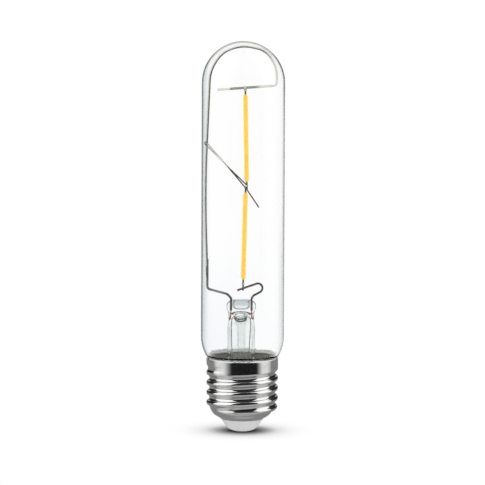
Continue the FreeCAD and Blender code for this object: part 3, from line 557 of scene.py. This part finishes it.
def clear_glass():
    """Blown tube glass, clear; its outline, grey bands and dark tints are painted shade."""
    # Besides the clear tint, these are painted shade: low down, in bands, behind the neck, the
    # outline
    clear = (0.998, 0.998, 0.998)
    low_shade_tint = (0.955, 0.966, 0.98)
    band_shade = (0.82, 0.845, 0.85)
    neck_shade = (0.085, 0.082, 0.062)
    outline = (0.1, 0.105, 0.113)
    glass = {"Roughness": 0.0, "IOR": 1.25, "Transmission Weight": 1.0}
    material, tree, shader = new_finish("clear_glass", glass)
    waves = mottle(tree, blotch=0.05, stretch=(1, 1, 0.25))[0]
    axes = object_axes(tree)
    outside = add(tree, "Attribute", attribute_name=OUTER_SKIN).outputs["Fac"]
    inside = compute(tree, "SUBTRACT", 1.0, outside)
    colour = blend(tree, painted_low_shade(tree, axes), clear, low_shade_tint)
    colour = blend(tree, painted_glass_bands(tree, axes), colour, band_shade)
    colour = blend(tree, multiply(tree, neck_shade_mask(tree, axes), inside), colour, neck_shade)
    colour = blend(tree, painted_glass_outline(tree, axes, outside), colour, outline)
    paint(tree, shader, "Base Color", colour)
    bump(tree, shader, waves, depth_mm=0.05)
    return material


def hole_ring_shade(tree):
    """Painted shade on the thick rim of the blow hole, where its glass is seen edge on, darkest
    below.
    """
    place = object_place(tree)
    across, up = BLOW_HOLE
    half_width, half_height = BLOW_HOLE_SIZE
    centre = Vector((STEM_AXIS + across, 0, up)) * MM
    offset = compute_vector(tree, "SUBTRACT", place, centre)["Vector"]
    shares = Vector((1 / half_width, 0, 1 / half_height)) / MM
    scaled = compute_vector(tree, "MULTIPLY", offset, shares)["Vector"]
    ring = sector(tree, compute_vector(tree, "LENGTH", scaled)["Value"], *HOLE_RING)
    height = add(tree, "SeparateXYZ", {0: scaled}).outputs["Z"]
    low = ease(tree, height, *HOLE_RING_LEVELS, 1.0, HOLE_TOP_SHARE)
    depth = add(tree, "SeparateXYZ", {0: place}).outputs["Y"]
    front = ease_mm(tree, depth, HOLE_FRONT_SIDE, 1.0, 0.0)
    return multiply(tree, multiply(tree, ring, low), front)


def barrel_painted_shade(tree):
    """Painted shade on the upper part of the barrel, duller than its bright lower band."""
    axes = object_axes(tree)
    half_width, half_height = BARREL_HALF
    soft_side, soft_top = BARREL_SOFT
    left = STEM_AXIS - half_width
    right = STEM_AXIS + half_width
    top = BARREL_LEVEL + half_height
    upper = sector_mm(tree, axes["Z"], BARREL_SHADE_LEVELS, (top - soft_top, top))
    inner = sector_mm(tree, axes["X"], (left, left + soft_side), (right - soft_side, right))
    return multiply(tree, upper, inner)


def barrel_rim_shade(tree):
    """A painted dark line round the front of the barrel, where it leaves the press."""
    axes = object_axes(tree)
    half_width, half_height = BARREL_HALF
    per_width = 1 / (half_width * MM)
    per_height = 1 / (half_height * MM)
    across = compute(tree, "MULTIPLY_ADD", axes["X"], per_width, -STEM_AXIS / half_width)
    up = compute(tree, "MULTIPLY_ADD", axes["Z"], per_height, -BARREL_LEVEL / half_height)
    across = compute(tree, "POWER", across, 4.0)
    reach = compute(tree, "ADD", across, compute(tree, "POWER", up, 2.0))
    rim = sector(tree, reach, *BARREL_RIM)
    front = ease_mm(tree, axes["Y"], BARREL_FRONT_SIDE, BARREL_RIM_SHARE, 0.0)
    return multiply(tree, rim, front)


def stem_glass():
    """Thicker lead glass of the stem, faintly green where deep; its dark lines are painted shade.
    """
    green = (0.96, 0.985, 0.975)
    clear = (0.985, 0.995, 0.99)
    # Painted shade on the barrel
    dull = (0.38, 0.44, 0.47)
    # Painted dark line round the barrel
    rim = (0.05, 0.08, 0.075)
    # Painted dark outline where the stem is seen edge on
    outline = (0.2, 0.235, 0.225)
    # Painted dark ring round the blow hole
    ring = (0.03, 0.07, 0.05)
    glass = {"Roughness": 0.0, "IOR": 1.53, "Transmission Weight": 1.0}
    material, tree, shader = new_finish("stem_glass", glass)
    waves = mottle(tree, blotch=0.5)[0]
    colour = blend(tree, waves, green, clear)
    colour = blend(tree, barrel_painted_shade(tree), colour, dull)
    colour = blend(tree, barrel_rim_shade(tree), colour, rim)
    colour = blend(tree, ease(tree, edge_on(tree), *STEM_EDGE), colour, outline)
    colour = blend(tree, hole_ring_shade(tree), colour, ring)
    paint(tree, shader, "Base Color", colour)
    bump(tree, shader, waves, depth_mm=0.04)
    return material


def brace_highlight(tree):
    """A painted highlight on the brace from its fold to its middle, except along its upper side."""
    place = add(tree, "TexCoord").outputs
    across = add(tree, "SeparateXYZ", {0: place["Object"]}).outputs["X"]
    stretch = sector_mm(tree, across, *BRACE_SIDES)
    upwards = Vector((1, 0, 1)).normalized()
    upper = compute_vector(tree, "DOT_PRODUCT", place["Normal"], upwards)["Value"]
    return multiply(tree, stretch, ease(tree, upper, *BRACE_UPPER, 1.0, BRACE_UPPER_SHARE))


def support_highlight(tree):
    """Painted highlights on the support wire: outside its bend, its right end, the bar's tip."""
    place = add(tree, "TexCoord").outputs
    axes = add(tree, "SeparateXYZ", {0: place["Object"]}).outputs
    on_bar = ease_mm(tree, axes["X"], BAR_SIDE)
    on_bar = multiply(tree, on_bar, ease_mm(tree, axes["Z"], BAR_LEVELS, 1.0, 0.0))
    bar_tip = ease_mm(tree, axes["X"], BAR_TIP_SIDE, 1.0, BAR_SHARE)
    bar_end = ease_mm(tree, axes["X"], BAR_END_SIDE)
    bar = multiply(tree, on_bar, compute(tree, "MAXIMUM", bar_tip, bar_end))
    right = ease_mm(tree, axes["X"], ARCH_RIGHT_SIDE)
    above = compute(tree, "MAXIMUM", compute(tree, "SUBTRACT", axes["Z"], ARCH_CENTRE * MM), 0.0)
    outward = add(tree, "CombineXYZ", {"X": axes["X"], "Z": above}).outputs[0]
    outward = compute_vector(tree, "NORMALIZE", outward)["Vector"]
    outside = compute_vector(tree, "DOT_PRODUCT", outward, place["Normal"])["Value"]
    outside = ease(tree, outside, *ARCH_OUTSIDE)
    return compute(tree, "MAXIMUM", compute(tree, "MAXIMUM", right, bar), outside)


def lead_highlight(tree):
    """A painted highlight makes the sloping stretch of the left lead lighter than the rest."""
    return sector_mm(tree, object_axes(tree)["X"], *LEAD_SIDES)


def support_scorch(tree):
    """The foot of the support wire, darkened by the weld to the lead."""
    return ease_mm(tree, object_axes(tree)["Z"], SCORCH_LEVELS, 1.0, 0.0)


def wire_metal(name, shine=None, bright=None, scorch=None):
    """Drawn wire: long dull and light streaks, fine grain, painted highlights, scorched places."""
    dull, light, roughness, metallic = WIRE_FINISHES[name]
    material, tree, shader = new_finish(name, {"Metallic": metallic})
    streaks, grain = mottle(tree, blotch=0.6, grain=8.0, stretch=(1, 1, 0.15))
    colour = blend(tree, spread(tree, streaks, 0.0, 1.0), dull, light)
    # The bright places are painted highlights
    if shine:
        colour = blend(tree, shine(tree), colour, bright)
    if scorch:
        colour = blend(tree, scorch(tree), colour, SCORCHED)
    paint(tree, shader, "Base Color", colour)
    down, up = WIRE_GLOSS
    paint(tree, shader, "Roughness", spread(tree, grain, roughness - down, roughness + up))
    bump(tree, shader, grain, depth_mm=0.012)
    return material


def yellow_silicone(name, bottom, top):
    """Silicone full of yellow phosphor: deep over the chips and paler along its thin edges."""
    deep = (0.8, 0.49, 0.045)
    rich = (0.85, 0.555, 0.07)
    thin = (0.85, 0.65, 0.3)
    # The coat glows as painted light; it is no lamp
    material, tree, shader = new_finish(name, {"IOR": 1.41, "Emission Strength": COAT_PAINTED_GLOW})
    along = (top - bottom).normalized()
    across = Vector((along.z, 0, -along.x))
    offset = compute_vector(tree, "SUBTRACT", object_place(tree), bottom)["Vector"]
    away = compute(tree, "ABSOLUTE", compute_vector(tree, "DOT_PRODUCT", offset, across)["Value"])
    blotch, grain = mottle(tree, blotch=0.35, grain=2.5)
    colour = blend(tree, spread(tree, blotch, 0.0, 1.0), deep, rich)
    colour = blend(tree, ease_mm(tree, away, COAT_EDGE), colour, thin)
    paint(tree, shader, "Base Color", colour)
    paint(tree, shader, "Emission Color", colour)
    paint(tree, shader, "Roughness", spread(tree, grain, low=0.4, high=0.55))
    bump(tree, shader, blotch, depth_mm=0.06)
    return material


def plated_shell():
    """Rolled and plated sheet: bright, with fine marks that blur its reflections."""
    dull = (0.72, 0.72, 0.72)
    bright = (0.82, 0.82, 0.81)
    material, tree, shader = new_finish("plated_shell", {"Metallic": 1.0})
    blotch, grain = mottle(tree, blotch=0.45, grain=5.0, stretch=(1, 1, 2.5))
    colour = blend(tree, spread(tree, blotch, 0.0, 1.0), dull, bright)
    paint(tree, shader, "Base Color", colour)
    paint(tree, shader, "Roughness", spread(tree, grain, low=0.07, high=0.15))
    bump(tree, shader, grain, depth_mm=0.003)
    return material


def plain_finish(name):
    """A plain solid finish: two close shades in blotches, a varied gloss and a fine bump."""
    first, second, roughness, blotches, grains, depth, metallic, glow = PLAIN_FINISHES[name]
    material, tree, shader = new_finish(name, {"Metallic": metallic, "Emission Strength": glow})
    blotch, grain = mottle(tree, blotches, grains)
    colour = blend(tree, spread(tree, blotch, 0.0, 1.0), first, second)
    paint(tree, shader, "Base Color", colour)
    # A glow is painted light
    if glow:
        paint(tree, shader, "Emission Color", colour)
    down, up = PLAIN_GLOSS
    paint(tree, shader, "Roughness", spread(tree, grain, roughness - down, roughness + up))
    bump(tree, shader, grain, depth)
    return material


# Mesh helpers


def soft(share):
    """A smooth step from 0 to 1 as the share goes from 0 to 1."""
    share = min(max(share, 0.0), 1.0)
    return share * share * (3 - 2 * share)


def finished(name, built, material):
    """Turns a bmesh in millimetres into an object of the scene that rides on the lamp."""
    bmesh.ops.transform(built, matrix=Matrix.Scale(MM, 4), verts=built.verts)
    mesh = bpy.data.meshes.new(name)
    built.to_mesh(mesh)
    built.free()
    for face in mesh.polygons:
        face.use_smooth = True
    piece = bpy.data.objects.new(name, mesh)
    bpy.context.scene.collection.objects.link(piece)
    mesh.materials.append(material)
    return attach(piece, "root")


def rounded_line(corners, bends):
    """A line through corners in the section plane, each inner corner rounded by its own bend."""
    points = [Vector((across, 0, up)) for across, up in corners]
    line = [points[0]]
    for number, bend in enumerate(bends, start=1):
        back = (points[number - 1] - points[number]).normalized()
        ahead = (points[number + 1] - points[number]).normalized()
        half = back.angle(ahead) / 2
        centre = points[number] + (back + ahead).normalized() * bend / math.sin(half)
        start = points[number] + back * bend / math.tan(half) - centre
        end = points[number] + ahead * bend / math.tan(half) - centre
        for step in range(BEND_STEPS + 1):
            line.append(centre + start.slerp(end, step / BEND_STEPS).normalized() * bend)
    line.append(points[-1])
    return line


def even_steps(line, gap):
    """Points along a line, no further apart than the gap."""
    points = [line[0]]
    for start, end in zip(line, line[1:]):
        count = max(1, math.ceil((end - start).length / gap))
        points += [start.lerp(end, step / count) for step in range(1, count + 1)]
    return points


def spin_section(points, steps):
    """Turns an open section once round the lamp's axis."""
    built = bmesh.new()
    corners = [built.verts.new(point) for point in points]
    edges = [built.edges.new(pair) for pair in zip(corners, corners[1:])]
    bmesh.ops.spin(
        built,
        geom=corners + edges,
        cent=(0, 0, 0),
        axis=(0, 0, 1),
        angle=math.tau,
        steps=steps,
        use_merge=True,
    )
    bmesh.ops.remove_doubles(built, verts=built.verts, dist=MERGE_GAP)
    return built


# Screw cap


def thread_height(level, angle):
    """How far the rolled thread stands out of its root: its top groove runs out into the collar."""
    depth = COLLAR_RADIUS - thread_root()
    lead = THREAD_PHASE + THREAD_PITCH * angle / math.tau
    crest = lead + THREAD_PITCH * round((level - lead) / THREAD_PITCH)
    away = abs(level - crest)
    if away <= THREAD_PITCH / 4:
        height = depth - THREAD_ROUND + math.sqrt(THREAD_ROUND ** 2 - away ** 2)
    else:
        height = THREAD_ROUND - math.sqrt(THREAD_ROUND ** 2 - (THREAD_PITCH / 2 - away) ** 2)
    groove = crest + math.copysign(THREAD_PITCH / 2, level - crest)
    height += (depth - height) * soft((groove - GROOVE_END) / GROOVE_FADE)
    return height * soft((crest - THREAD_START) / THREAD_FADE)


def thread_root():
    """Radius of the thread's root, from its crest's radius and its two equal arcs."""
    between_arcs = math.sqrt(4 * THREAD_ROUND ** 2 - THREAD_PITCH ** 2 / 4)
    return COLLAR_RADIUS - 2 * THREAD_ROUND + between_arcs


def cap_sheet():
    """The drawn cup, spun plain, then rolled: each point moves out by the thread's height."""
    root = thread_root()
    lip = (LIP[0] + root - COLLAR_RADIUS, LIP[1])
    corners = [MOUTH, CONE_KNEE, (root, CONE_TOP), (root, COLLAR_TOP), lip]
    line = rounded_line(corners, [CONE_BEND, CONE_BEND, LIP_BEND])
    built = spin_section(even_steps(line, CAP_ROW), CAP_STEPS)
    bmesh.ops.recalc_face_normals(built, faces=built.faces)
    built.normal_update()
    for corner in built.verts:
        outward = Vector((corner.co.x, corner.co.y, 0)).normalized()
        angle = math.atan2(corner.co.y, corner.co.x)
        corner.co += outward * thread_height(corner.co.z, angle)
    bmesh.ops.solidify(built, geom=built.faces, thickness=CAP_SHEET)
    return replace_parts(finished("cap_sheet", built, plated_shell()), "screw_shell")


# Glass envelope


def dome_points(level, radius):
    """A quarter circle in the section plane, from the tube's side to the pole of the dome."""
    points = []
    for step in range(DOME_STEPS + 1):
        angle = math.radians(90 * step / DOME_STEPS)
        points.append(Vector((radius * math.cos(angle), 0, level + radius * math.sin(angle))))
    return points


def envelope_glass():
    """One tube wall, from the foot in the cap to the pole of the dome, then given its thickness."""
    low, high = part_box("glass_envelope")
    radius = high.x / MM
    dome = high.z / MM - radius
    corners = [(NECK[0], low.z / MM), NECK, UNDERCUT, SHOULDER, (radius, dome)]
    side = rounded_line(corners, [NECK_BEND, UNDERCUT_BEND, SHOULDER_BEND])
    line = even_steps(side, GLASS_ROW)[:-1] + dome_points(dome, radius)
    built = spin_section(line, ENVELOPE_STEPS)
    bmesh.ops.recalc_face_normals(built, faces=built.faces)
    outer = {tuple(corner.co) for corner in built.verts}
    bmesh.ops.solidify(built, geom=built.faces, thickness=GLASS_WALL)
    skin = built.verts.layers.float.new(OUTER_SKIN)
    for corner in built.verts:
        corner[skin] = float(tuple(corner.co) in outer)
    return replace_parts(finished("envelope_glass", built, clear_glass()), "glass_envelope")


# Stem and pump tube


def smooth_rows(stations, row):
    """The stations with rows filled in between them, on a smooth curve through all."""
    rows = []
    last = len(stations) - 1
    for number in range(last):
        start = Vector(stations[number])
        end = Vector(stations[number + 1])
        before = Vector(stations[max(number - 1, 0)])
        after = Vector(stations[min(number + 2, last)])
        count = max(1, math.ceil((end - start).length / row))
        for step in range(count):
            part = step / count
            lean = (end - before) * part + (2 * before - 5 * start + 4 * end - after) * part ** 2
            rows.append(start + (lean + (3 * start - before - 3 * end + after) * part ** 3) / 2)
    rows.append(Vector(stations[last]))
    return rows


def squared(value, square):
    """Pushes a ring's corner out towards a rounded square; 2 leaves it round."""
    return math.copysign(abs(value) ** (2 / square), value)


def join_rings(built, rings):
    """A skin through rings of corners; gives the edges of its first and of its last ring."""
    loops = []
    for ring in rings:
        edges = [edge for corner in ring for edge in corner.link_edges]
        loops.append(list(dict.fromkeys(edges)))
    for lower, upper in zip(loops, loops[1:]):
        bmesh.ops.bridge_loops(built, edges=lower + upper)
    return loops[0], loops[-1]


def add_skin(built, rows, points):
    """A skin through rings of the rows' sizes; gives the edges at its two ends."""
    rings = []
    for level, wide, deep, square in rows:
        ring = bmesh.ops.create_circle(built, segments=points, radius=1)["verts"]
        for corner in ring:
            across = wide * squared(corner.co.x, square)
            back = deep * squared(corner.co.y, square)
            corner.co = (across, back, level)
        rings.append(ring)
    return join_rings(built, rings)


def close_end(built, end):
    """One flat face over the edges at the end of a skin."""
    bmesh.ops.contextual_create(built, geom=end)


def blow_hole(built):
    """Presses the blown hole into the front of the press, with a raised rim round it."""
    across, up = BLOW_HOLE
    half_width, half_height = BLOW_HOLE_SIZE
    for corner in built.verts:
        if corner.co.y > 0:
            continue
        reach = math.hypot((corner.co.x - across) / half_width, (corner.co.z - up) / half_height)
        pit = soft(PIT_END - reach) * BLOW_HOLE_DEPTH
        lip = math.exp(-((reach - LIP_REACH) / LIP_WIDTH) ** 2) * BLOW_HOLE_LIP
        corner.co.y += pit - lip


def press_barrel(built):
    """The tongs leave a barrel of glass across the press, between the two leads."""
    half_width, half_height = BARREL_HALF
    for corner in built.verts:
        reach = ((corner.co.z - BARREL_LEVEL) / half_height) ** 2 + (corner.co.x / half_width) ** 4
        if reach < 1 and corner.co.y:
            corner.co.y += math.copysign(math.sqrt(1 - reach) * BARREL_RISE, corner.co.y)


def pressed_stem():
    """The flared tube of the stem, pressed flat round the leads at its head."""
    built = bmesh.new()
    outer_foot, press_top = add_skin(built, smooth_rows(STEM_OUTSIDE, STEM_ROW), STEM_POINTS)
    close_end(built, press_top)
    blow_hole(built)
    press_barrel(built)
    inner_foot, ceiling = add_skin(built, smooth_rows(STEM_INSIDE, STEM_ROW), STEM_POINTS)
    close_end(built, ceiling)
    bmesh.ops.bridge_loops(built, edges=outer_foot + inner_foot)
    bmesh.ops.recalc_face_normals(built, faces=built.faces)
    bmesh.ops.translate(built, verts=built.verts, vec=(STEM_AXIS, 0, 0))
    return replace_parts(finished("pressed_stem", built, stem_glass()), "glass_stem")


def pump_tube():
    """The thin tube inside the stem: its tip sealed round, its head flared under the press."""
    side = even_steps(rounded_line(PUMP_TUBE_SIDE, PUMP_TUBE_BENDS), PUMP_TUBE_ROW)
    built = spin_section(side, STEM_POINTS)
    bmesh.ops.recalc_face_normals(built, faces=built.faces)
    bmesh.ops.solidify(built, geom=built.faces, thickness=PUMP_TUBE_WALL)
    bmesh.ops.translate(built, verts=built.verts, vec=(STEM_AXIS, 0, 0))
    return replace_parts(finished("pump_tube", built, stem_glass()), "exhaust_tube")


# Filament coats


def strip_line(strip):
    """The two ends of a filament's strip, from its corners."""
    corners = [vertex.co for vertex in NODES[strip].data.vertices]
    levels = [corner.z for corner in corners]
    middle = (min(levels) + max(levels)) / 2
    bottom = [corner for corner in corners if corner.z < middle]
    top = [corner for corner in corners if corner.z > middle]
    return [sum(end, Vector()) / len(end) for end in (bottom, top)]


def coat_rows(start, end):
    """Rings along a coat between two levels: drawn out thin at both ends, swelling a little."""
    shares = [(start + offset, share) for offset, share in COAT_TAPER]
    shares += [(end - offset, share) for offset, share in reversed(COAT_TAPER)]
    stations = []
    for level, share in shares:
        stations.append((level, COAT_HALF_WIDTH * share, COAT_HALF_DEPTH * share, COAT_SQUARE))
    rows = smooth_rows(stations, COAT_ROW)
    for row in rows:
        swell = 1 + COAT_SWELL * noise.noise(Vector((0, 0, row[0] * COAT_WAVES)))
        row[1] *= swell
        row[2] *= swell
    return rows


def filament_coat(name):
    """Silicone squeezed along the strip, which leans a little."""
    coat = f"{name}_filament_coat"
    low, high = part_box(coat)
    bottom, top = strip_line(f"{name}_filament_strip")
    built = bmesh.new()
    for end in add_skin(built, coat_rows(low.z / MM, high.z / MM), COAT_POINTS):
        close_end(built, end)
    for corner in built.verts:
        share = (corner.co.z * MM - bottom.z) / (top.z - bottom.z)
        centre = bottom.lerp(top, share) / MM
        corner.co.x += centre.x
        corner.co.y += centre.y
    bmesh.ops.recalc_face_normals(built, faces=built.faces)
    silicone = yellow_silicone(f"{name}_silicone", bottom, top)
    piece = finished(f"{name}_silicone_coat", built, silicone)
    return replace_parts(piece, coat)


# Mid brace and weld


def brace_depth(across, is_long):
    """Where each leg runs from front to back, so that the two don't meet where they cross."""
    if is_long:
        return LONG_LEG_DEPTH + LONG_LEG_LEAN * max(0.0, JOINT_ACROSS - across)
    return SHORT_LEG_DEPTH + SHORT_LEG_SWAY * soft((CROSSING_ACROSS - across) / SHORT_LEG_REACH)


def brace_wire():
    """One thin wire folded into a narrow V."""
    line = even_steps(rounded_line(BRACE_ROUTE, BRACE_BENDS), BRACE_ROW)
    fold = min(range(len(line)), key=lambda number: line[number].x)
    for number, point in enumerate(line):
        point.y = brace_depth(point.x, number < fold)
    built = bmesh.new()
    rings = []
    for number, point in enumerate(line):
        ahead = line[min(number + 1, len(line) - 1)] - line[max(number - 1, 0)]
        place = Matrix.LocRotScale(point, ahead.to_track_quat("Z", "Y"), None)
        circle = {"segments": BRACE_POINTS, "radius": BRACE_RADIUS, "matrix": place}
        rings.append(bmesh.ops.create_circle(built, **circle)["verts"])
    for end in join_rings(built, rings):
        close_end(built, end)
    bmesh.ops.recalc_face_normals(built, faces=built.faces)
    metal = wire_metal("brace_metal", brace_highlight, BRACE_HIGHLIGHT)
    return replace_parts(finished("brace_wire", built, metal), "mid_brace_wire")


def bar_weld(material):
    """The melted spot where the upper tab meets the bar."""
    built = bmesh.new()
    bmesh.ops.create_icosphere(built, subdivisions=3, radius=1)
    for corner in built.verts:
        corner.co *= 1 + WELD_LUMPS * noise.noise(corner.co * WELD_WAVES + Vector(BAR_WELD))
    bmesh.ops.scale(built, verts=built.verts, vec=BAR_WELD_SIZE)
    bmesh.ops.translate(built, verts=built.verts, vec=BAR_WELD)
    return finished("bar_weld", built, material)


# CAD nodes that stay


def dress_nodes():
    """Gives the CAD nodes that stay their finishes, and adds the weld on the bar."""
    finishes = {
        "nickel_wire": wire_metal("nickel_wire", support_highlight, NICKEL_HIGHLIGHT, support_scorch),
        "oxidised_lead": wire_metal("oxidised_lead", lead_highlight, LEAD_HIGHLIGHT),
    }
    for name in ("tinned_wire", "dumet_copper", "tab_metal"):
        finishes[name] = wire_metal(name)
    for name in PLAIN_FINISHES:
        finishes[name] = plain_finish(name)
    for node, name in NODE_FINISHES.items():
        NODES[node].data.materials.clear()
        NODES[node].data.materials.append(finishes[name])
    bar_weld(finishes["melted_nickel"])


# Studio


def studio_light(tree, turn, up):
    """What metal and glass reflect: white cards at both sides in a dark room, over a grey table."""
    front = sector(tree, turn, LEFT_CARD[1], RIGHT_CARD[0])
    cards = compute(tree, "ADD", sector(tree, turn, *LEFT_CARD), sector(tree, turn, *RIGHT_CARD))
    glow = compute(tree, "ADD", sector(tree, turn, *LEFT_GLOW), sector(tree, turn, *RIGHT_GLOW))
    cards = mix(tree, ease(tree, up, *GLOW_LEVELS), glow, cards)
    lean = compute(tree, "ADD", sector(tree, turn, *LEFT_LEAN), sector(tree, turn, *RIGHT_LEAN))
    lean = multiply(tree, lean, ease(tree, up, *LEAN_START))
    ahead = sector(tree, turn, LEFT_CARD[0], RIGHT_CARD[1])
    sweep = compute(tree, "SUBTRACT", 1.0, sector(tree, turn, *SWEEP_SIDES))
    sweep = multiply(tree, sweep, sector(tree, up, *SWEEP_LEVELS))
    room = mix(tree, ease(tree, up, *ROOM_LEVELS), ROOM_DARK, ROOM_DIM)
    room = mix(tree, sweep, room, SWEEP_TOP)
    room = mix(tree, lean, room, CARD_LIGHT[1])
    room = mix(tree, cards, room, ease(tree, up, *CARD_LEVELS, *CARD_LIGHT))
    behind = mix(tree, ease(tree, up, *TABLE_REAR_LEVELS), TABLE_REAR, room)
    room = mix(tree, ahead, behind, room)
    table = mix(tree, front, TABLE_REAR, TABLE_FRONT)
    table = mix(tree, cards, table, TABLE_SIDE)
    table = mix(tree, ease(tree, up, *TABLE_UNDER_LEVELS), TABLE_UNDER, table)
    return mix(tree, ease(tree, up, *HORIZON), table, room)


def studio_world():
    """White behind the lamp for the camera and through glass; reflections see the studio."""
    world = bpy.data.worlds.new("studio")
    bpy.context.scene.world = world
    world.use_nodes = True
    tree = world.node_tree
    direction = add(tree, "TexCoord").outputs["Generated"]
    axes = add(tree, "SeparateXYZ", {0: direction}).outputs
    facing = multiply(tree, axes["Y"], -1.0)
    turn = multiply(tree, compute(tree, "ARCTAN2", axes["X"], facing), math.degrees(1))
    up = multiply(tree, compute(tree, "ARCSINE", axes["Z"]), math.degrees(1))
    path = add(tree, "LightPath").outputs
    light = mix(tree, path["Is Transmission Ray"], studio_light(tree, turn, up), 1.0)
    light = mix(tree, path["Is Camera Ray"], light, 1.0)
    scattered = compute(tree, "GREATER_THAN", path["Diffuse Depth"], 0.5)
    side_light = ease(tree, compute(tree, "ABSOLUTE", axes["X"]), *SIDE_SHARE, *SIDE_LIGHT)
    light = mix(tree, scattered, light, side_light)
    background = tree.nodes["Background"]
    background.inputs["Color"].default_value = (1, 1, 1, 1)
    tree.links.new(light, background.inputs["Strength"])


def studio_floor():
    """A white floor that keeps the lamp's contact shadow and isn't seen in reflections."""
    built = bmesh.new()
    bmesh.ops.create_grid(built, x_segments=1, y_segments=1, size=FLOOR_HALF)
    mesh = bpy.data.meshes.new("studio_floor")
    built.to_mesh(mesh)
    built.free()
    floor = bpy.data.objects.new("studio_floor", mesh)
    bpy.context.scene.collection.objects.link(floor)
    material = bpy.data.materials.new("studio_floor")
    material.use_nodes = True
    tree = material.node_tree
    reach = {"Distance": SHADOW_REACH}
    shade = add(tree, "AmbientOcclusion", reach, samples=SHADOW_RAYS).outputs["AO"]
    shade = ease(tree, shade, *SHADOW_EDGES, SHADOW_DARK, 1.0)
    seen = add(tree, "LightPath").outputs["Is Camera Ray"]
    strength = mix(tree, seen, FLOOR_BOUNCE, shade)
    light = add(tree, "Emission", {"Strength": strength})
    tree.links.new(light.outputs[0], tree.nodes["Material Output"].inputs["Surface"])
    mesh.materials.append(material)
    floor.visible_glossy = False
    floor.visible_transmission = False


def photo_camera():
    """A long lens far back, looking a little down on the lamp as the photo does."""
    data = bpy.data.cameras.new("photo_camera")
    data.sensor_width = SENSOR_WIDTH
    data.lens = SENSOR_WIDTH * CAMERA_DISTANCE / (IMAGE_WIDTH / PIXELS_PER_MM * MM)
    data.clip_end = CAMERA_RANGE
    camera = bpy.data.objects.new("photo_camera", data)
    bpy.context.scene.collection.objects.link(camera)
    back = Vector((0, -math.cos(CAMERA_HEIGHT_ANGLE), math.sin(CAMERA_HEIGHT_ANGLE)))
    turn = (-back).to_track_quat("-Z", "Y").to_matrix() @ Matrix.Rotation(CAMERA_ROLL, 3, "Z")
    camera.matrix_world = Matrix.Translation(AIM + back * CAMERA_DISTANCE) @ turn.to_4x4()
    bpy.context.scene.camera = camera


envelope_glass()
pressed_stem()
pump_tube()
filament_coat("upper")
filament_coat("lower")
brace_wire()
cap_sheet()
dress_nodes()
studio_world()
studio_floor()
photo_camera()
bpy.context.scene.view_settings.view_transform = "Standard"
